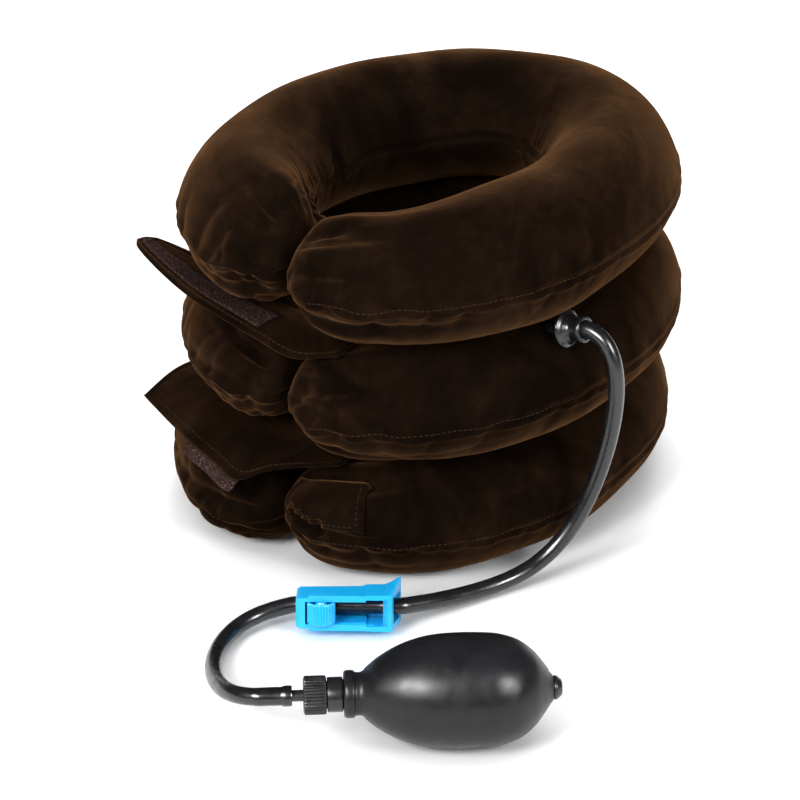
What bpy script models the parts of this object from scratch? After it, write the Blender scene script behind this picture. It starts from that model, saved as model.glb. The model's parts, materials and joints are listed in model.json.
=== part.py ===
"""Inflatable cervical traction collar with hose, roller clamp and hand bulb.

Metres, +Z up, ground at z = 0.  The dimensions below are taken from the collar's
vertical axis: the three cushions are stacked round it, their split arm ends meet
at -Y, and +X is the side with the air inlet.  The finished assembly is then moved
so that the origin lies under the middle of its footprint.
"""
import math

import bmesh
import bpy
from mathutils import Matrix, Vector

MM = 0.001
CLEARANCE = 0.3 * MM

# Centre of the whole footprint seen from the collar's axis; it becomes the origin
FOOTPRINT_CENTRE = Vector((49.363, -53.905, 0.0)) * MM

# Plan of one cushion: a closed oval centreline, split at -Y
PLAN_HALF_WIDTH = 75.5 * MM
PLAN_HALF_LENGTH = 98.0 * MM
PLAN_CENTRE = Vector((1.0, -5.0)) * MM
PLAN_POWER = 2.1
NAPE_NARROWING = 0.09
ARM_GAP = 2.0 * MM
THROAT_BEARING = math.radians(-82.0)

# Section of one cushion: two domed sheets joined at a flat seam
TUBE_HALF_WIDTH = 34.8 * MM
TIER_PITCH = 61.0 * MM
SEAM_LEVEL = 30.0 * MM
SEAM_HALF_GAP = 0.15 * MM
LOWER_RISE = SEAM_LEVEL - SEAM_HALF_GAP
UPPER_RISE = TIER_PITCH - SEAM_LEVEL - SEAM_HALF_GAP - CLEARANCE
TOP_TIER_RISE = 37.0 * MM
SHEET_THICKNESS = 1.2 * MM
CROWN_POWER = 0.6
CROWN_CLIP = 1.06

# The arms are rounded off at their tips and lie a little slack at the throat
ARM_TIP_REACH = 38.0 * MM
ARM_TIP_POWER = 2.8
THROAT_SLACK = 0.11
SLACK_REACH = 135.0 * MM

# Grid used for the sheets
TIP_STEPS = (0.0, 1.2 * MM, 5.0 * MM, 12.0 * MM, 22.0 * MM, 36.0 * MM)
SIDE_STATIONS = 20
ACROSS = (-1.0, -0.92, -0.65, -0.3, 0.3, 0.65, 0.92, 1.0)
PLAN_SAMPLES = 1440

# Air transfer grommets at the nape
GROMMET_BORE = 4.5 * MM
GROMMET_NECK = 6.4 * MM
GROMMET_FLANGE = 10.0 * MM
GROMMET_FLANGE_THICKNESS = 1.0 * MM
GROMMET_HOLE = GROMMET_NECK + CLEARANCE

# Straps
STRAP_THICKNESS = 1.8 * MM
HOOK_TAPE_THICKNESS = 0.8 * MM
HOOK_TAPE_OVERHANG = 1.16

# Air inlet on the middle cushion
PORT_ORIGIN = Vector((101.2, -16.4, 118.5)) * MM
PORT_BEARING = math.radians(7.0)
PORT_RISE = math.radians(15.0)
PORT_HUB_RADIUS = 3.4 * MM
PORT_HUB_DEPTH = 16.0 * MM
PORT_SOCKET_DEPTH = 3.0 * MM
PORT_LENGTH = 11.5 * MM

# Hose
HOSE_RADIUS = 3.8 * MM
HOSE_BORE = 2.3 * MM
HOSE_FLARE_RADIUS = 4.3 * MM
HOSE_FLARE_BORE = 3.3 * MM
HOSE_SIDES = 9
HOSE_STEPS_PER_SPAN = 2

# Control points of the hose in millimetres: along the port's, the clamp's and the bulb's
# axes, and in the air between them
HOSE_IN_PORT = (3.3, 8.0, 12.0, 15.0)
HOSE_FALLING = (
    (123.5, -13.4, 120.4), (129.5, -12.4, 111.5), (132.0, -12.0, 92.0),
    (130.0, -16.0, 66.0), (127.0, -23.0, 43.0), (121.5, -31.5, 22.0),
    (116.0, -44.5, 9.5), (110.7, -61.2, 4.6), (105.1, -78.7, 4.8),
    (102.6, -96.1, 7.2),
)
HOSE_IN_CLAMP = (28.0, 14.0, 0.0, -14.0, -26.0)
HOSE_LOOPING = (
    (51.5, -162.0, 7.8), (48.5, -178.0, 5.2), (56.5, -196.0, 4.4),
    (72.5, -211.0, 7.5), (94.0, -224.5, 16.5),
)
HOSE_TO_STEM = (-93.0, -84.0, -76.0, -69.3)

# Roller clamp, in its own frame: origin and X on the hose's axis, Y away from the roller.
# It lies rolled a little on its back, so that the roller looks up and outwards.
CLAMP_ORIGIN = Vector((78.4, -133.5, 10.2)) * MM
CLAMP_BEARING = math.radians(45.0)
CLAMP_ROLL = math.radians(-16.0)
CLAMP_BORE = 4.6 * MM
CLAMP_LENGTH = (-22.8 * MM, 24.5 * MM)
CLAMP_FRONT = -12.3 * MM
CLAMP_BACK = 5.4 * MM
CLAMP_BACK_WALL = 1.3 * MM
CLAMP_PILLAR_DEPTH = 3.6 * MM
RIB_DEPTH = 4.0 * MM
CHANNEL_HALF_HEIGHT = 5.3 * MM
WINDOW_HALF_HEIGHT = 6.2 * MM
WINDOW_END = 18.6 * MM
ROLLER_RADIUS = 6.4 * MM
ROLLER_HEIGHT = 10.2 * MM
ROLLER_PLACE = Vector((-11.4, -10.5, 0.0)) * MM
ROLLER_TRAVEL = 22.0 * MM
ROLLER_END_ROOM = 0.8 * MM
ROLLER_RIBS = 20
PIN_RADIUS = 1.1 * MM
PIN_HEIGHT = 12.6 * MM
SLOT_CLEARANCE = 0.2 * MM
SLOT_TOP = 6.7 * MM

# Bulb and valve, in their own frame: X along the axis, hose end negative
BULB_CENTRE = Vector((174.0, -160.0, 24.7)) * MM
BULB_BEARING = math.radians(49.0)
BULB_SIDES = 20
CAP_RIBS = 20


def clear_scene():
    for item in list(bpy.data.objects):
        bpy.data.objects.remove(item, do_unlink=True)


def make_material(name, colour, roughness, metallic=0.0):
    material = bpy.data.materials.new(name)
    material.use_nodes = True
    shader = material.node_tree.nodes["Principled BSDF"]
    shader.inputs["Base Color"].default_value = (*colour, 1.0)
    shader.inputs["Roughness"].default_value = roughness
    shader.inputs["Metallic"].default_value = metallic
    material.diffuse_color = (*colour, 1.0)
    return material


def add_solid(name, vertices, faces, material, placement=None, smooth=True):
    mesh = bpy.data.meshes.new(name)
    mesh.from_pydata([tuple(vertex) for vertex in vertices], [], faces)
    work = bmesh.new()
    work.from_mesh(mesh)
    bmesh.ops.recalc_face_normals(work, faces=work.faces[:])
    work.to_mesh(mesh)
    work.free()
    for polygon in mesh.polygons:
        polygon.use_smooth = smooth
    if material is not None:
        mesh.materials.append(material)
    solid = bpy.data.objects.new(name, mesh)
    if placement is not None:
        solid.matrix_world = placement
    bpy.context.scene.collection.objects.link(solid)
    return solid


def cut(solid, cutter, operation="DIFFERENCE"):
    cutter.hide_render = True
    cutter.display_type = "WIRE"
    modifier = solid.modifiers.new(cutter.name, "BOOLEAN")
    modifier.operation = operation
    modifier.solver = "EXACT"
    modifier.object = cutter


def revolve(name, profile, material, placement, sides, ribs=None):
    """Turn a closed (along, radius) profile about the local X axis.

    ribs, when given, is (profile indices, depth): those rings are fluted.
    """
    vertices = []
    faces = []
    count = len(profile)
    for side in range(sides):
        angle = 2.0 * math.pi * side / sides
        for index, (along, radius) in enumerate(profile):
            if ribs is not None and index in ribs[0] and side % 2:
                radius -= ribs[1]
            vertices.append((along, radius * math.cos(angle), radius * math.sin(angle)))
    for side in range(sides):
        following = (side + 1) % sides
        for index in range(count):
            after = (index + 1) % count
            faces.append((side * count + index, side * count + after,
                          following * count + after, following * count + index))
    return add_solid(name, vertices, faces, material, placement)


def cylinder(name, start, end, radius, material, placement=None, sides=24):
    """Solid cylinder between two points."""
    axis = (end - start).normalized()
    side_axis = axis.orthogonal().normalized()
    other_axis = axis.cross(side_axis)
    vertices = []
    for centre in (start, end):
        for side in range(sides):
            angle = 2.0 * math.pi * side / sides
            offset = side_axis * math.cos(angle) + other_axis * math.sin(angle)
            vertices.append(centre + offset * radius)
    faces = [tuple(range(sides)), tuple(range(sides, 2 * sides))]
    for side in range(sides):
        following = (side + 1) % sides
        faces.append((side, following, sides + following, sides + side))
    return add_solid(name, vertices, faces, material, placement)


def box(name, low, high, placement):
    (x0, y0, z0), (x1, y1, z1) = low, high
    corners = [(x, y, z) for x in (x0, x1) for y, z in ((y0, z0), (y1, z0), (y1, z1), (y0, z1))]
    return add_solid(name, corners, loft_faces(2, 4), None, placement, smooth=False)


def loft_faces(stations, ring):
    """Faces of a closed loft with `ring` points at each station and capped ends."""
    faces = [tuple(range(ring)), tuple(range((stations - 1) * ring, stations * ring))]
    for station in range(stations - 1):
        for index in range(ring):
            after = (index + 1) % ring
            base = station * ring
            faces.append((base + index, base + after, base + ring + after, base + ring + index))
    return faces


def frame_at(origin, bearing, rise=0.0):
    """Placement whose local X points along the bearing, lifted by the rise."""
    turn = Matrix.Rotation(bearing, 4, "Z") @ Matrix.Rotation(-rise, 4, "Y")
    return Matrix.Translation(origin) @ turn


# --- cushions ------------------------------------------------------------

def signed_power(value, power):
    return math.copysign(abs(value) ** power, value)


def plan_samples():
    """Centreline points with their running length, right arm tip to left arm tip."""
    start = THROAT_BEARING
    points = []
    for index in range(PLAN_SAMPLES + 1):
        angle = start + 2.0 * math.pi * index / PLAN_SAMPLES
        forward = signed_power(math.sin(angle), 2.0 / PLAN_POWER)
        sideways = signed_power(math.cos(angle), 2.0 / PLAN_POWER)
        sideways *= 1.0 - NAPE_NARROWING * forward
        oval = Vector((PLAN_HALF_WIDTH * sideways, PLAN_HALF_LENGTH * forward))
        points.append(PLAN_CENTRE + oval)
    lengths = [0.0]
    for first, second in zip(points, points[1:]):
        lengths.append(lengths[-1] + (second - first).length)
    return points, lengths


PLAN_POINTS, PLAN_LENGTHS = plan_samples()
ARM_LENGTH = PLAN_LENGTHS[-1] - ARM_GAP


def plan_at(distance):
    """Centreline point and outward normal at a distance from the right arm tip."""
    target = distance + ARM_GAP / 2.0
    low, high = 0, len(PLAN_LENGTHS) - 2
    while low < high:
        middle = (low + high + 1) // 2
        if PLAN_LENGTHS[middle] <= target:
            low = middle
        else:
            high = middle - 1
    span = PLAN_LENGTHS[low + 1] - PLAN_LENGTHS[low]
    share = (target - PLAN_LENGTHS[low]) / span
    point = PLAN_POINTS[low].lerp(PLAN_POINTS[low + 1], share)
    tangent = (PLAN_POINTS[low + 1] - PLAN_POINTS[low]).normalized()
    return point, Vector((tangent.y, -tangent.x))


def round_end(distance, reach):
    ratio = min(max(distance / reach, 0.0), 1.0)
    return (1.0 - (1.0 - ratio) ** ARM_TIP_POWER) ** (1.0 / ARM_TIP_POWER)


def slackness(distance):
    """Height factor of the faces that meet another cushion, lower at the throat."""
    ratio = min(distance / SLACK_REACH, 1.0)
    return 1.0 - THROAT_SLACK * (1.0 - ratio * ratio * (3.0 - 2.0 * ratio))


def crown(across, clip):
    return min(1.0, clip * max(0.0, 1.0 - across * across) ** CROWN_POWER)


class Sheet:
    """One domed sheet of a cushion; side is +1 above the seam and -1 below."""

    def __init__(self, tier, side):
        self.side = side
        self.seam = SEAM_LEVEL + tier * TIER_PITCH
        is_top_face = tier == 2 and side > 0
        is_ground_face = tier == 0 and side < 0
        self.meets_cushion = not is_top_face and not is_ground_face
        self.clip = 1.0 if is_top_face else CROWN_CLIP
        if is_top_face:
            self.rise = TOP_TIER_RISE
        else:
            self.rise = UPPER_RISE if side > 0 else LOWER_RISE

    def point(self, distance, across, inset=0.0):
        """Surface point; inset gives the inner face of the sheet."""
        from_tip = min(distance, ARM_LENGTH - distance) - inset
        taper = round_end(from_tip, ARM_TIP_REACH - inset)
        half_width = (TUBE_HALF_WIDTH - inset) * taper
        rise = self.rise * taper
        if self.meets_cushion:
            rise *= slackness(from_tip + inset)
        if inset:
            rise -= inset * taper
        centre, outward = plan_at(distance)
        spot = centre + outward * half_width * across
        level = self.seam + self.side * (SEAM_HALF_GAP + rise * crown(across, self.clip))
        return Vector((spot.x, spot.y, level))


def station_distances(inset):
    side_length = ARM_LENGTH - 2.0 * TIP_STEPS[-1]
    distances = list(TIP_STEPS)
    for index in range(1, SIDE_STATIONS):
        distances.append(TIP_STEPS[-1] + side_length * index / SIDE_STATIONS)
    distances += [ARM_LENGTH - step for step in reversed(TIP_STEPS)]
    scale = (ARM_LENGTH - 2.0 * inset) / ARM_LENGTH
    return [inset + distance * scale for distance in distances]


def cushion_sheet(name, tier, side, material):
    """Thin dome with its edge at the seam; each arm tip closes to a point."""
    sheet = Sheet(tier, side)
    vertices = []
    layers = []
    for inset in (0.0, SHEET_THICKNESS):
        rows = []
        distances = station_distances(inset)
        for distance in distances:
            at_tip = distance in (distances[0], distances[-1])
            row = []
            for across in (ACROSS[:1] if at_tip else ACROSS):
                row.append(len(vertices))
                vertices.append(sheet.point(distance, across, inset))
            rows.append(row * len(ACROSS) if at_tip else row)
        layers.append(rows)
    faces = []
    for rows in layers:
        for row, after in zip(rows, rows[1:]):
            for index in range(len(ACROSS) - 1):
                add_face(faces, (row[index], row[index + 1], after[index + 1], after[index]))
    outer, inner = layers
    for edge in (0, -1):
        for station in range(len(outer) - 1):
            add_face(faces, (outer[station][edge], outer[station + 1][edge],
                             inner[station + 1][edge], inner[station][edge]))
    origin = Vector((0.0, 0.0, sheet.seam))
    local = [vertex - origin for vertex in vertices]
    return add_solid(name, local, faces, material, Matrix.Translation(origin))


def add_face(faces, corners):
    """Append a face, leaving out repeated corners."""
    distinct = []
    for corner in corners:
        if corner not in distinct:
            distinct.append(corner)
    if len(distinct) > 2:
        faces.append(tuple(distinct))


def build_cushions(velour):
    sheets = {}
    for tier, level in enumerate(("bottom", "middle", "top")):
        for side, face in ((-1, "lower"), (1, "upper")):
            name = f"{level}_tier_{face}_sheet"
            sheets[level, face] = cushion_sheet(name, tier, side, velour)
    return sheets


def build_grommets(sheets, vinyl):
    """Flanged tubes that let air pass from one cushion to the next."""
    pairs = (("lower", 1, ("bottom", "middle")), ("upper", 2, ("middle", "top")))
    for name, tier, (below, above) in pairs:
        joint_level = tier * TIER_PITCH
        nape, _ = plan_at(ARM_LENGTH / 2.0)
        centre = Vector((nape.x, nape.y, joint_level))
        placement = Matrix.Translation(centre) @ Matrix.Rotation(-math.pi / 2.0, 4, "Y")
        reach = SHEET_THICKNESS + 2.0 * CLEARANCE
        outer = reach + GROMMET_FLANGE_THICKNESS
        profile = (
            (-outer, GROMMET_BORE), (outer, GROMMET_BORE), (outer, GROMMET_FLANGE),
            (reach, GROMMET_FLANGE), (reach, GROMMET_NECK), (-reach, GROMMET_NECK),
            (-reach, GROMMET_FLANGE), (-outer, GROMMET_FLANGE),
        )
        revolve(f"{name}_air_grommet", profile, vinyl, placement, 20)
        lift = Vector((0.0, 0.0, 6.0 * MM))
        hole = cylinder(f"cut_{name}_grommet_hole", centre - lift, centre + lift, GROMMET_HOLE, None)
        cut(sheets[below, "upper"], hole)
        cut(sheets[above, "lower"], hole)


# --- straps --------------------------------------------------------------

def row_normals(rows):
    """Upward surface normal at each point of a grid of rows."""
    normals = []
    for station, row in enumerate(rows):
        before = rows[max(station - 1, 0)]
        after = rows[min(station + 1, len(rows) - 1)]
        line = []
        for index in range(len(row)):
            along = after[index] - before[index]
            side = row[min(index + 1, len(row) - 1)] - row[max(index - 1, 0)]
            normal = along.cross(side).normalized()
            line.append(normal if normal.z > 0.0 else -normal)
        normals.append(line)
    return normals


def offset_rows(rows, offset):
    """The same grid moved along its own normals."""
    normals = row_normals(rows)
    return [
        [point + normal * offset for point, normal in zip(row, line)]
        for row, line in zip(rows, normals)
    ]


def grid_plate(name, rows, thickness, material):
    """Bendable plate: rows of points, thickened along the local surface normal."""
    count = len(rows[0])
    top = [point for row in offset_rows(rows, thickness / 2.0) for point in row]
    bottom = [point for row in offset_rows(rows, -thickness / 2.0) for point in row]
    vertices = top + bottom
    shift = len(top)
    faces = []
    for station in range(len(rows) - 1):
        for index in range(count - 1):
            base = station * count + index
            quad = (base, base + 1, base + count + 1, base + count)
            faces.append(quad)
            faces.append(tuple(corner + shift for corner in quad))
        for edge in (station * count, station * count + count - 1):
            faces.append((edge, edge + count, edge + count + shift, edge + shift))
    for first in (0, (len(rows) - 1) * count):
        for index in range(first, first + count - 1):
            faces.append((index, index + 1, index + 1 + shift, index + shift))
    return add_solid(name, vertices, faces, material)


def strap_rows(stations, shares):
    """Rows across a strap; each station is (back, middle, front) in millimetres."""
    rows = []
    for back, middle, front in stations:
        row = []
        for share in shares:
            if share <= 0.5:
                point = Vector(back).lerp(Vector(middle), share * 2.0)
            else:
                point = Vector(middle).lerp(Vector(front), share * 2.0 - 1.0)
            row.append(point * MM)
        rows.append(row)
    return rows


def build_top_strap(velour, hook):
    """Closing strap of the top cushion, its free tail curling up on the -X side."""
    stations = (
        ((44, -82, 122.0), (45, -95, 121.8), (46, -107, 119.6)),
        ((28, -87, 122.0), (28, -103, 121.4), (27, -118, 115.6)),
        ((10, -89, 121.8), (8, -105, 121.4), (5, -121, 118.0)),
        ((-16, -89, 121.0), (-18, -106, 121.2), (-20, -123, 121.2)),
        ((-38, -90, 121.0), (-40, -107, 121.6), (-41, -124, 124.6)),
        ((-60, -91, 121.6), (-62, -107, 124.2), (-62, -123, 129.0)),
        ((-78, -94, 125.6), (-80, -107, 128.4), (-79, -120, 132.4)),
        ((-86, -100, 128.2), (-88, -107, 130.0), (-86, -115, 132.6)),
    )
    shares = (0.0, 0.25, 0.5, 0.75, 1.0)
    grid_plate("top_strap", strap_rows(stations, shares), STRAP_THICKNESS, velour)
    lift = (STRAP_THICKNESS + HOOK_TAPE_THICKNESS) / 2.0 + 2.0 * CLEARANCE
    tape = offset_rows(strap_rows(stations[2:7], (0.4, 0.5, 0.75, 0.95)), lift)
    grid_plate("top_strap_hook_tape", tape, HOOK_TAPE_THICKNESS, hook)


def build_middle_strap(velour, hook):
    """Wide squared strap of the middle cushion, creased near the arm ends."""
    stations = (
        ((40, -76, 61.0), (42, -92, 61.0), (44, -104, 60.6)),
        ((18, -86, 61.0), (18, -108, 61.0), (20, -126, 56.6)),
        ((4, -90, 61.0), (4, -114, 60.0), (6, -136, 49.4)),
        ((-12, -90, 61.0), (-14, -112, 60.4), (-14, -134, 50.4)),
        ((-40, -86, 61.0), (-42, -108, 60.6), (-44, -129, 51.0)),
        ((-62, -82, 61.2), (-66, -104, 59.6), (-68, -123, 50.8)),
        ((-76, -79, 61.4), (-80, -100, 58.8), (-82, -119, 50.4)),
    )
    shares = (0.0, 0.25, 0.5, 0.75, 1.0)
    grid_plate("middle_strap", strap_rows(stations, shares), STRAP_THICKNESS, velour)
    drop = (STRAP_THICKNESS + HOOK_TAPE_THICKNESS) / 2.0 + 2.0 * CLEARANCE
    tape = strap_rows(stations[2:5], (0.5, 0.75, 1.0, HOOK_TAPE_OVERHANG))
    grid_plate("middle_strap_hook_tape", offset_rows(tape, -drop), HOOK_TAPE_THICKNESS, hook)


def build_bottom_tab(velour):
    """Short stitched strap end lying on the right arm of the bottom cushion."""
    sheet = Sheet(0, 1)
    rows = []
    for distance in TIP_STEPS[2:6]:
        crest, shoulder, edge = [sheet.point(distance, across) for across in ACROSS[4:7]]
        rows.append([crest.lerp(shoulder, 0.6), shoulder, edge])
    lift = STRAP_THICKNESS / 2.0 + 2.0 * CLEARANCE
    grid_plate("bottom_strap_tab", offset_rows(rows, lift), STRAP_THICKNESS, velour)


# --- inlet and hose ------------------------------------------------------

def port_frame():
    return frame_at(PORT_ORIGIN, PORT_BEARING, PORT_RISE)


def build_port(sheets, rubber):
    """Cup-shaped rubber inlet: disc, funnel and a rimmed socket for the hose."""
    socket = HOSE_RADIUS + CLEARANCE
    profile = (
        (-PORT_HUB_DEPTH, HOSE_BORE), (PORT_SOCKET_DEPTH, HOSE_BORE), (PORT_SOCKET_DEPTH, socket),
        (PORT_LENGTH, socket), (PORT_LENGTH, 6.1 * MM), (9.4 * MM, 6.3 * MM), (9.0 * MM, 5.2 * MM),
        (5.0 * MM, 5.3 * MM), (2.2 * MM, 7.2 * MM), (1.3 * MM, 9.0 * MM), (0.0, 9.0 * MM),
        (-1.2 * MM, PORT_HUB_RADIUS), (-PORT_HUB_DEPTH, PORT_HUB_RADIUS),
    )
    revolve("inlet_port", profile, rubber, port_frame(), 20)
    start = port_frame() @ Vector((-PORT_HUB_DEPTH - 4.0 * MM, 0.0, 0.0))
    end = port_frame() @ Vector((4.0 * MM, 0.0, 0.0))
    hole = cylinder("cut_inlet_hole", start, end, PORT_HUB_RADIUS + CLEARANCE, None, sides=16)
    cut(sheets["middle", "upper"], hole)


def clamp_frame():
    return frame_at(CLAMP_ORIGIN, CLAMP_BEARING) @ Matrix.Rotation(CLAMP_ROLL, 4, "X")


def bulb_frame():
    return frame_at(BULB_CENTRE, BULB_BEARING)


def hose_path():
    """Control points from the inlet socket, through the clamp, to the barbed stem."""
    port = port_frame()
    clamp = clamp_frame()
    bulb = bulb_frame()
    points = [port @ Vector((along * MM, 0.0, 0.0)) for along in HOSE_IN_PORT]
    points += [Vector(point) * MM for point in HOSE_FALLING]
    points += [clamp @ Vector((along * MM, 0.0, 0.0)) for along in HOSE_IN_CLAMP]
    points += [Vector(point) * MM for point in HOSE_LOOPING]
    points += [bulb @ Vector((along * MM, 0.0, 0.0)) for along in HOSE_TO_STEM]
    return points


def smooth_path(points, steps):
    """Catmull-Rom samples through the control points."""
    padded = [points[0] * 2.0 - points[1], *points, points[-1] * 2.0 - points[-2]]
    samples = []
    for first, second, third, fourth in zip(padded, padded[1:], padded[2:], padded[3:]):
        for step in range(steps):
            share = step / steps
            samples.append(0.5 * (
                2.0 * second
                + (third - first) * share
                + (2.0 * first - 5.0 * second + 4.0 * third - fourth) * share ** 2
                + (3.0 * second - first - 3.0 * third + fourth) * share ** 3
            ))
    samples.append(points[-1].copy())
    return samples


def hose_radii(distance_to_end):
    """Outer and bore radius; the hose swells over the barbed stem at its far end."""
    if distance_to_end < 0.5 * MM:
        return HOSE_FLARE_RADIUS, HOSE_FLARE_BORE
    if distance_to_end < 16.0 * MM:
        return HOSE_RADIUS + 0.2 * MM, HOSE_FLARE_BORE
    return HOSE_RADIUS, HOSE_BORE


def build_hose(rubber):
    path = smooth_path(hose_path(), HOSE_STEPS_PER_SPAN)
    remaining = [0.0]
    for first, second in zip(reversed(path), reversed(path[:-1])):
        remaining.append(remaining[-1] + (second - first).length)
    remaining.reverse()
    vertices = []
    side_axis = None
    for index, point in enumerate(path):
        tangent = (path[min(index + 1, len(path) - 1)] - path[max(index - 1, 0)]).normalized()
        if side_axis is None:
            side_axis = tangent.orthogonal()
        side_axis = (side_axis - tangent * side_axis.dot(tangent)).normalized()
        other_axis = tangent.cross(side_axis)
        for radius in hose_radii(remaining[index]):
            for side in range(HOSE_SIDES):
                angle = 2.0 * math.pi * side / HOSE_SIDES
                offset = side_axis * math.cos(angle) + other_axis * math.sin(angle)
                vertices.append(point + offset * radius)
    faces = []
    ring = 2 * HOSE_SIDES
    last = (len(path) - 1) * ring
    for side in range(HOSE_SIDES):
        after = (side + 1) % HOSE_SIDES
        for base in range(0, last, ring):
            for layer in (0, HOSE_SIDES):
                faces.append((base + layer + side, base + layer + after,
                              base + ring + layer + after, base + ring + layer + side))
        for base in (0, last):
            faces.append((base + side, base + after,
                          base + HOSE_SIDES + after, base + HOSE_SIDES + side))
    add_solid("hose", vertices, faces, rubber)


# --- roller clamp --------------------------------------------------------

def clamp_section(x, half_height):
    """Corners of the housing's rectangular section at x."""
    low, high = -half_height, half_height
    return [(x, CLAMP_FRONT, low), (x, CLAMP_BACK, low), (x, CLAMP_BACK, high), (x, CLAMP_FRONT, high)]


def build_clamp_housing(plastic):
    """Open-fronted channel with a roller slot, wider and flared at its +X end."""
    start, end = CLAMP_LENGTH
    narrow, stepped, wide = 7.1 * MM, 7.6 * MM, 8.6 * MM
    stations = [clamp_section(start, narrow), clamp_section(6.5 * MM, stepped)]
    stations += [clamp_section(9.0 * MM, wide), clamp_section(18.0 * MM, wide)]
    flare_front = end - 4.0 * MM
    flare_top = 12.1 * MM
    stations.append([
        (flare_front, CLAMP_FRONT, -wide), (end, CLAMP_BACK, -wide),
        (end, CLAMP_BACK + 0.8 * MM, flare_top), (flare_front, CLAMP_FRONT, wide),
    ])
    vertices = [corner for ring in stations for corner in ring]
    frame = clamp_frame()
    housing = add_solid("clamp_housing", vertices, loft_faces(len(stations), 4), plastic, frame, False)
    add_clamp_ribs(housing)
    cut_clamp_pockets(housing)
    bore_start = Vector((start - 3.0 * MM, 0.0, 0.0))
    bore_end = Vector((start + 6.0 * MM, 0.0, 0.0))
    cut(housing, cylinder("cut_clamp_bore", bore_start, bore_end, CLAMP_BORE, None, frame, 20))


def add_clamp_ribs(housing):
    """Raised rib along the front edge of both side walls."""
    inner, outer = 7.0 * MM, 8.3 * MM
    for name, low, high in (("top", inner, outer), ("bottom", -outer, -inner)):
        near = (-17.0 * MM, CLAMP_FRONT, low)
        far = (7.0 * MM, CLAMP_FRONT + RIB_DEPTH, high)
        cut(housing, box(f"add_clamp_rib_{name}", near, far, clamp_frame()), "UNION")


def cut_clamp_pockets(housing):
    """Hollow channel, its wider window, the open mouth, and the slots for the roller's pin."""
    before = CLAMP_FRONT - 2.0 * MM
    inside = CLAMP_BACK - CLAMP_BACK_WALL
    behind_pillar = CLAMP_FRONT + CLAMP_PILLAR_DEPTH
    channel_start = ROLLER_PLACE.x - ROLLER_RADIUS - ROLLER_END_ROOM
    step = 9.0 * MM
    overlap = 0.2 * MM
    pin_room = PIN_RADIUS + SLOT_CLEARANCE
    slot_start = ROLLER_PLACE.x - PIN_RADIUS - ROLLER_END_ROOM
    slot_end = ROLLER_PLACE.x + ROLLER_TRAVEL + PIN_RADIUS + ROLLER_END_ROOM
    slot_bottom = CHANNEL_HALF_HEIGHT - ROLLER_END_ROOM
    pockets = (
        ("channel", (channel_start, before, -CHANNEL_HALF_HEIGHT), (step, inside, CHANNEL_HALF_HEIGHT)),
        ("window", (step - overlap, before, -WINDOW_HALF_HEIGHT), (WINDOW_END, inside, WINDOW_HALF_HEIGHT)),
        ("mouth", (WINDOW_END - 2.0 * MM, behind_pillar, -WINDOW_HALF_HEIGHT),
         (CLAMP_LENGTH[1] + 2.0 * MM, inside, WINDOW_HALF_HEIGHT)),
        ("slot_top", (slot_start, ROLLER_PLACE.y - pin_room, slot_bottom),
         (slot_end, ROLLER_PLACE.y + pin_room, SLOT_TOP)),
        ("slot_bottom", (slot_start, ROLLER_PLACE.y - pin_room, -SLOT_TOP),
         (slot_end, ROLLER_PLACE.y + pin_room, -slot_bottom)),
    )
    for name, low, high in pockets:
        cut(housing, box(f"cut_clamp_{name}", low, high, clamp_frame()))


def roller_frame():
    return clamp_frame() @ Matrix.Translation(ROLLER_PLACE) @ Matrix.Rotation(-math.pi / 2.0, 4, "Y")


def build_clamp_roller(plastic, steel):
    """Fluted thumb wheel with a dished rim, running on a separate pin."""
    half = ROLLER_HEIGHT / 2.0
    bore = PIN_RADIUS + CLEARANCE
    edge = 0.7 * MM
    profile = (
        (-half, bore), (half, bore), (half, ROLLER_RADIUS - edge),
        (half - edge, ROLLER_RADIUS), (edge - half, ROLLER_RADIUS), (-half, ROLLER_RADIUS - edge),
    )
    flutes = ((3, 4), 0.35 * MM)
    revolve("clamp_roller", profile, plastic, roller_frame(), 2 * ROLLER_RIBS, flutes)
    start = Vector((-PIN_HEIGHT / 2.0, 0.0, 0.0))
    cylinder("clamp_roller_pin", start, -start, PIN_RADIUS, steel, roller_frame(), 16)


# --- bulb and valve ------------------------------------------------------

def build_bulb(rubber):
    """Hollow rubber bulb with a thick lip at the valve end and a hole at the tail."""
    profile = (
        (-47.4, 6.6), (-47.4, 9.3), (-46.4, 10.1), (-43.4, 10.1), (-42.4, 9.3), (-40.0, 9.3),
        (-37.6, 11.0), (-32.5, 15.2), (-24.0, 19.9), (-15.6, 22.8), (-7.2, 24.2), (2.0, 24.6),
        (12.0, 24.3), (19.0, 23.5), (26.6, 21.0), (32.9, 16.4), (37.1, 11.4), (39.8, 7.6),
        (41.4, 5.4), (41.4, 3.7), (38.6, 3.7), (36.0, 8.6), (31.4, 14.4), (25.4, 18.9),
        (18.2, 21.3), (2.0, 22.4), (-14.8, 20.7), (-23.0, 17.9), (-31.4, 13.4), (-36.6, 9.2),
        (-38.4, 6.6),
    )
    revolve("bulb", scaled(profile), rubber, bulb_frame(), BULB_SIDES)


def scaled(profile):
    return [(along * MM, radius * MM) for along, radius in profile]


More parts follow.
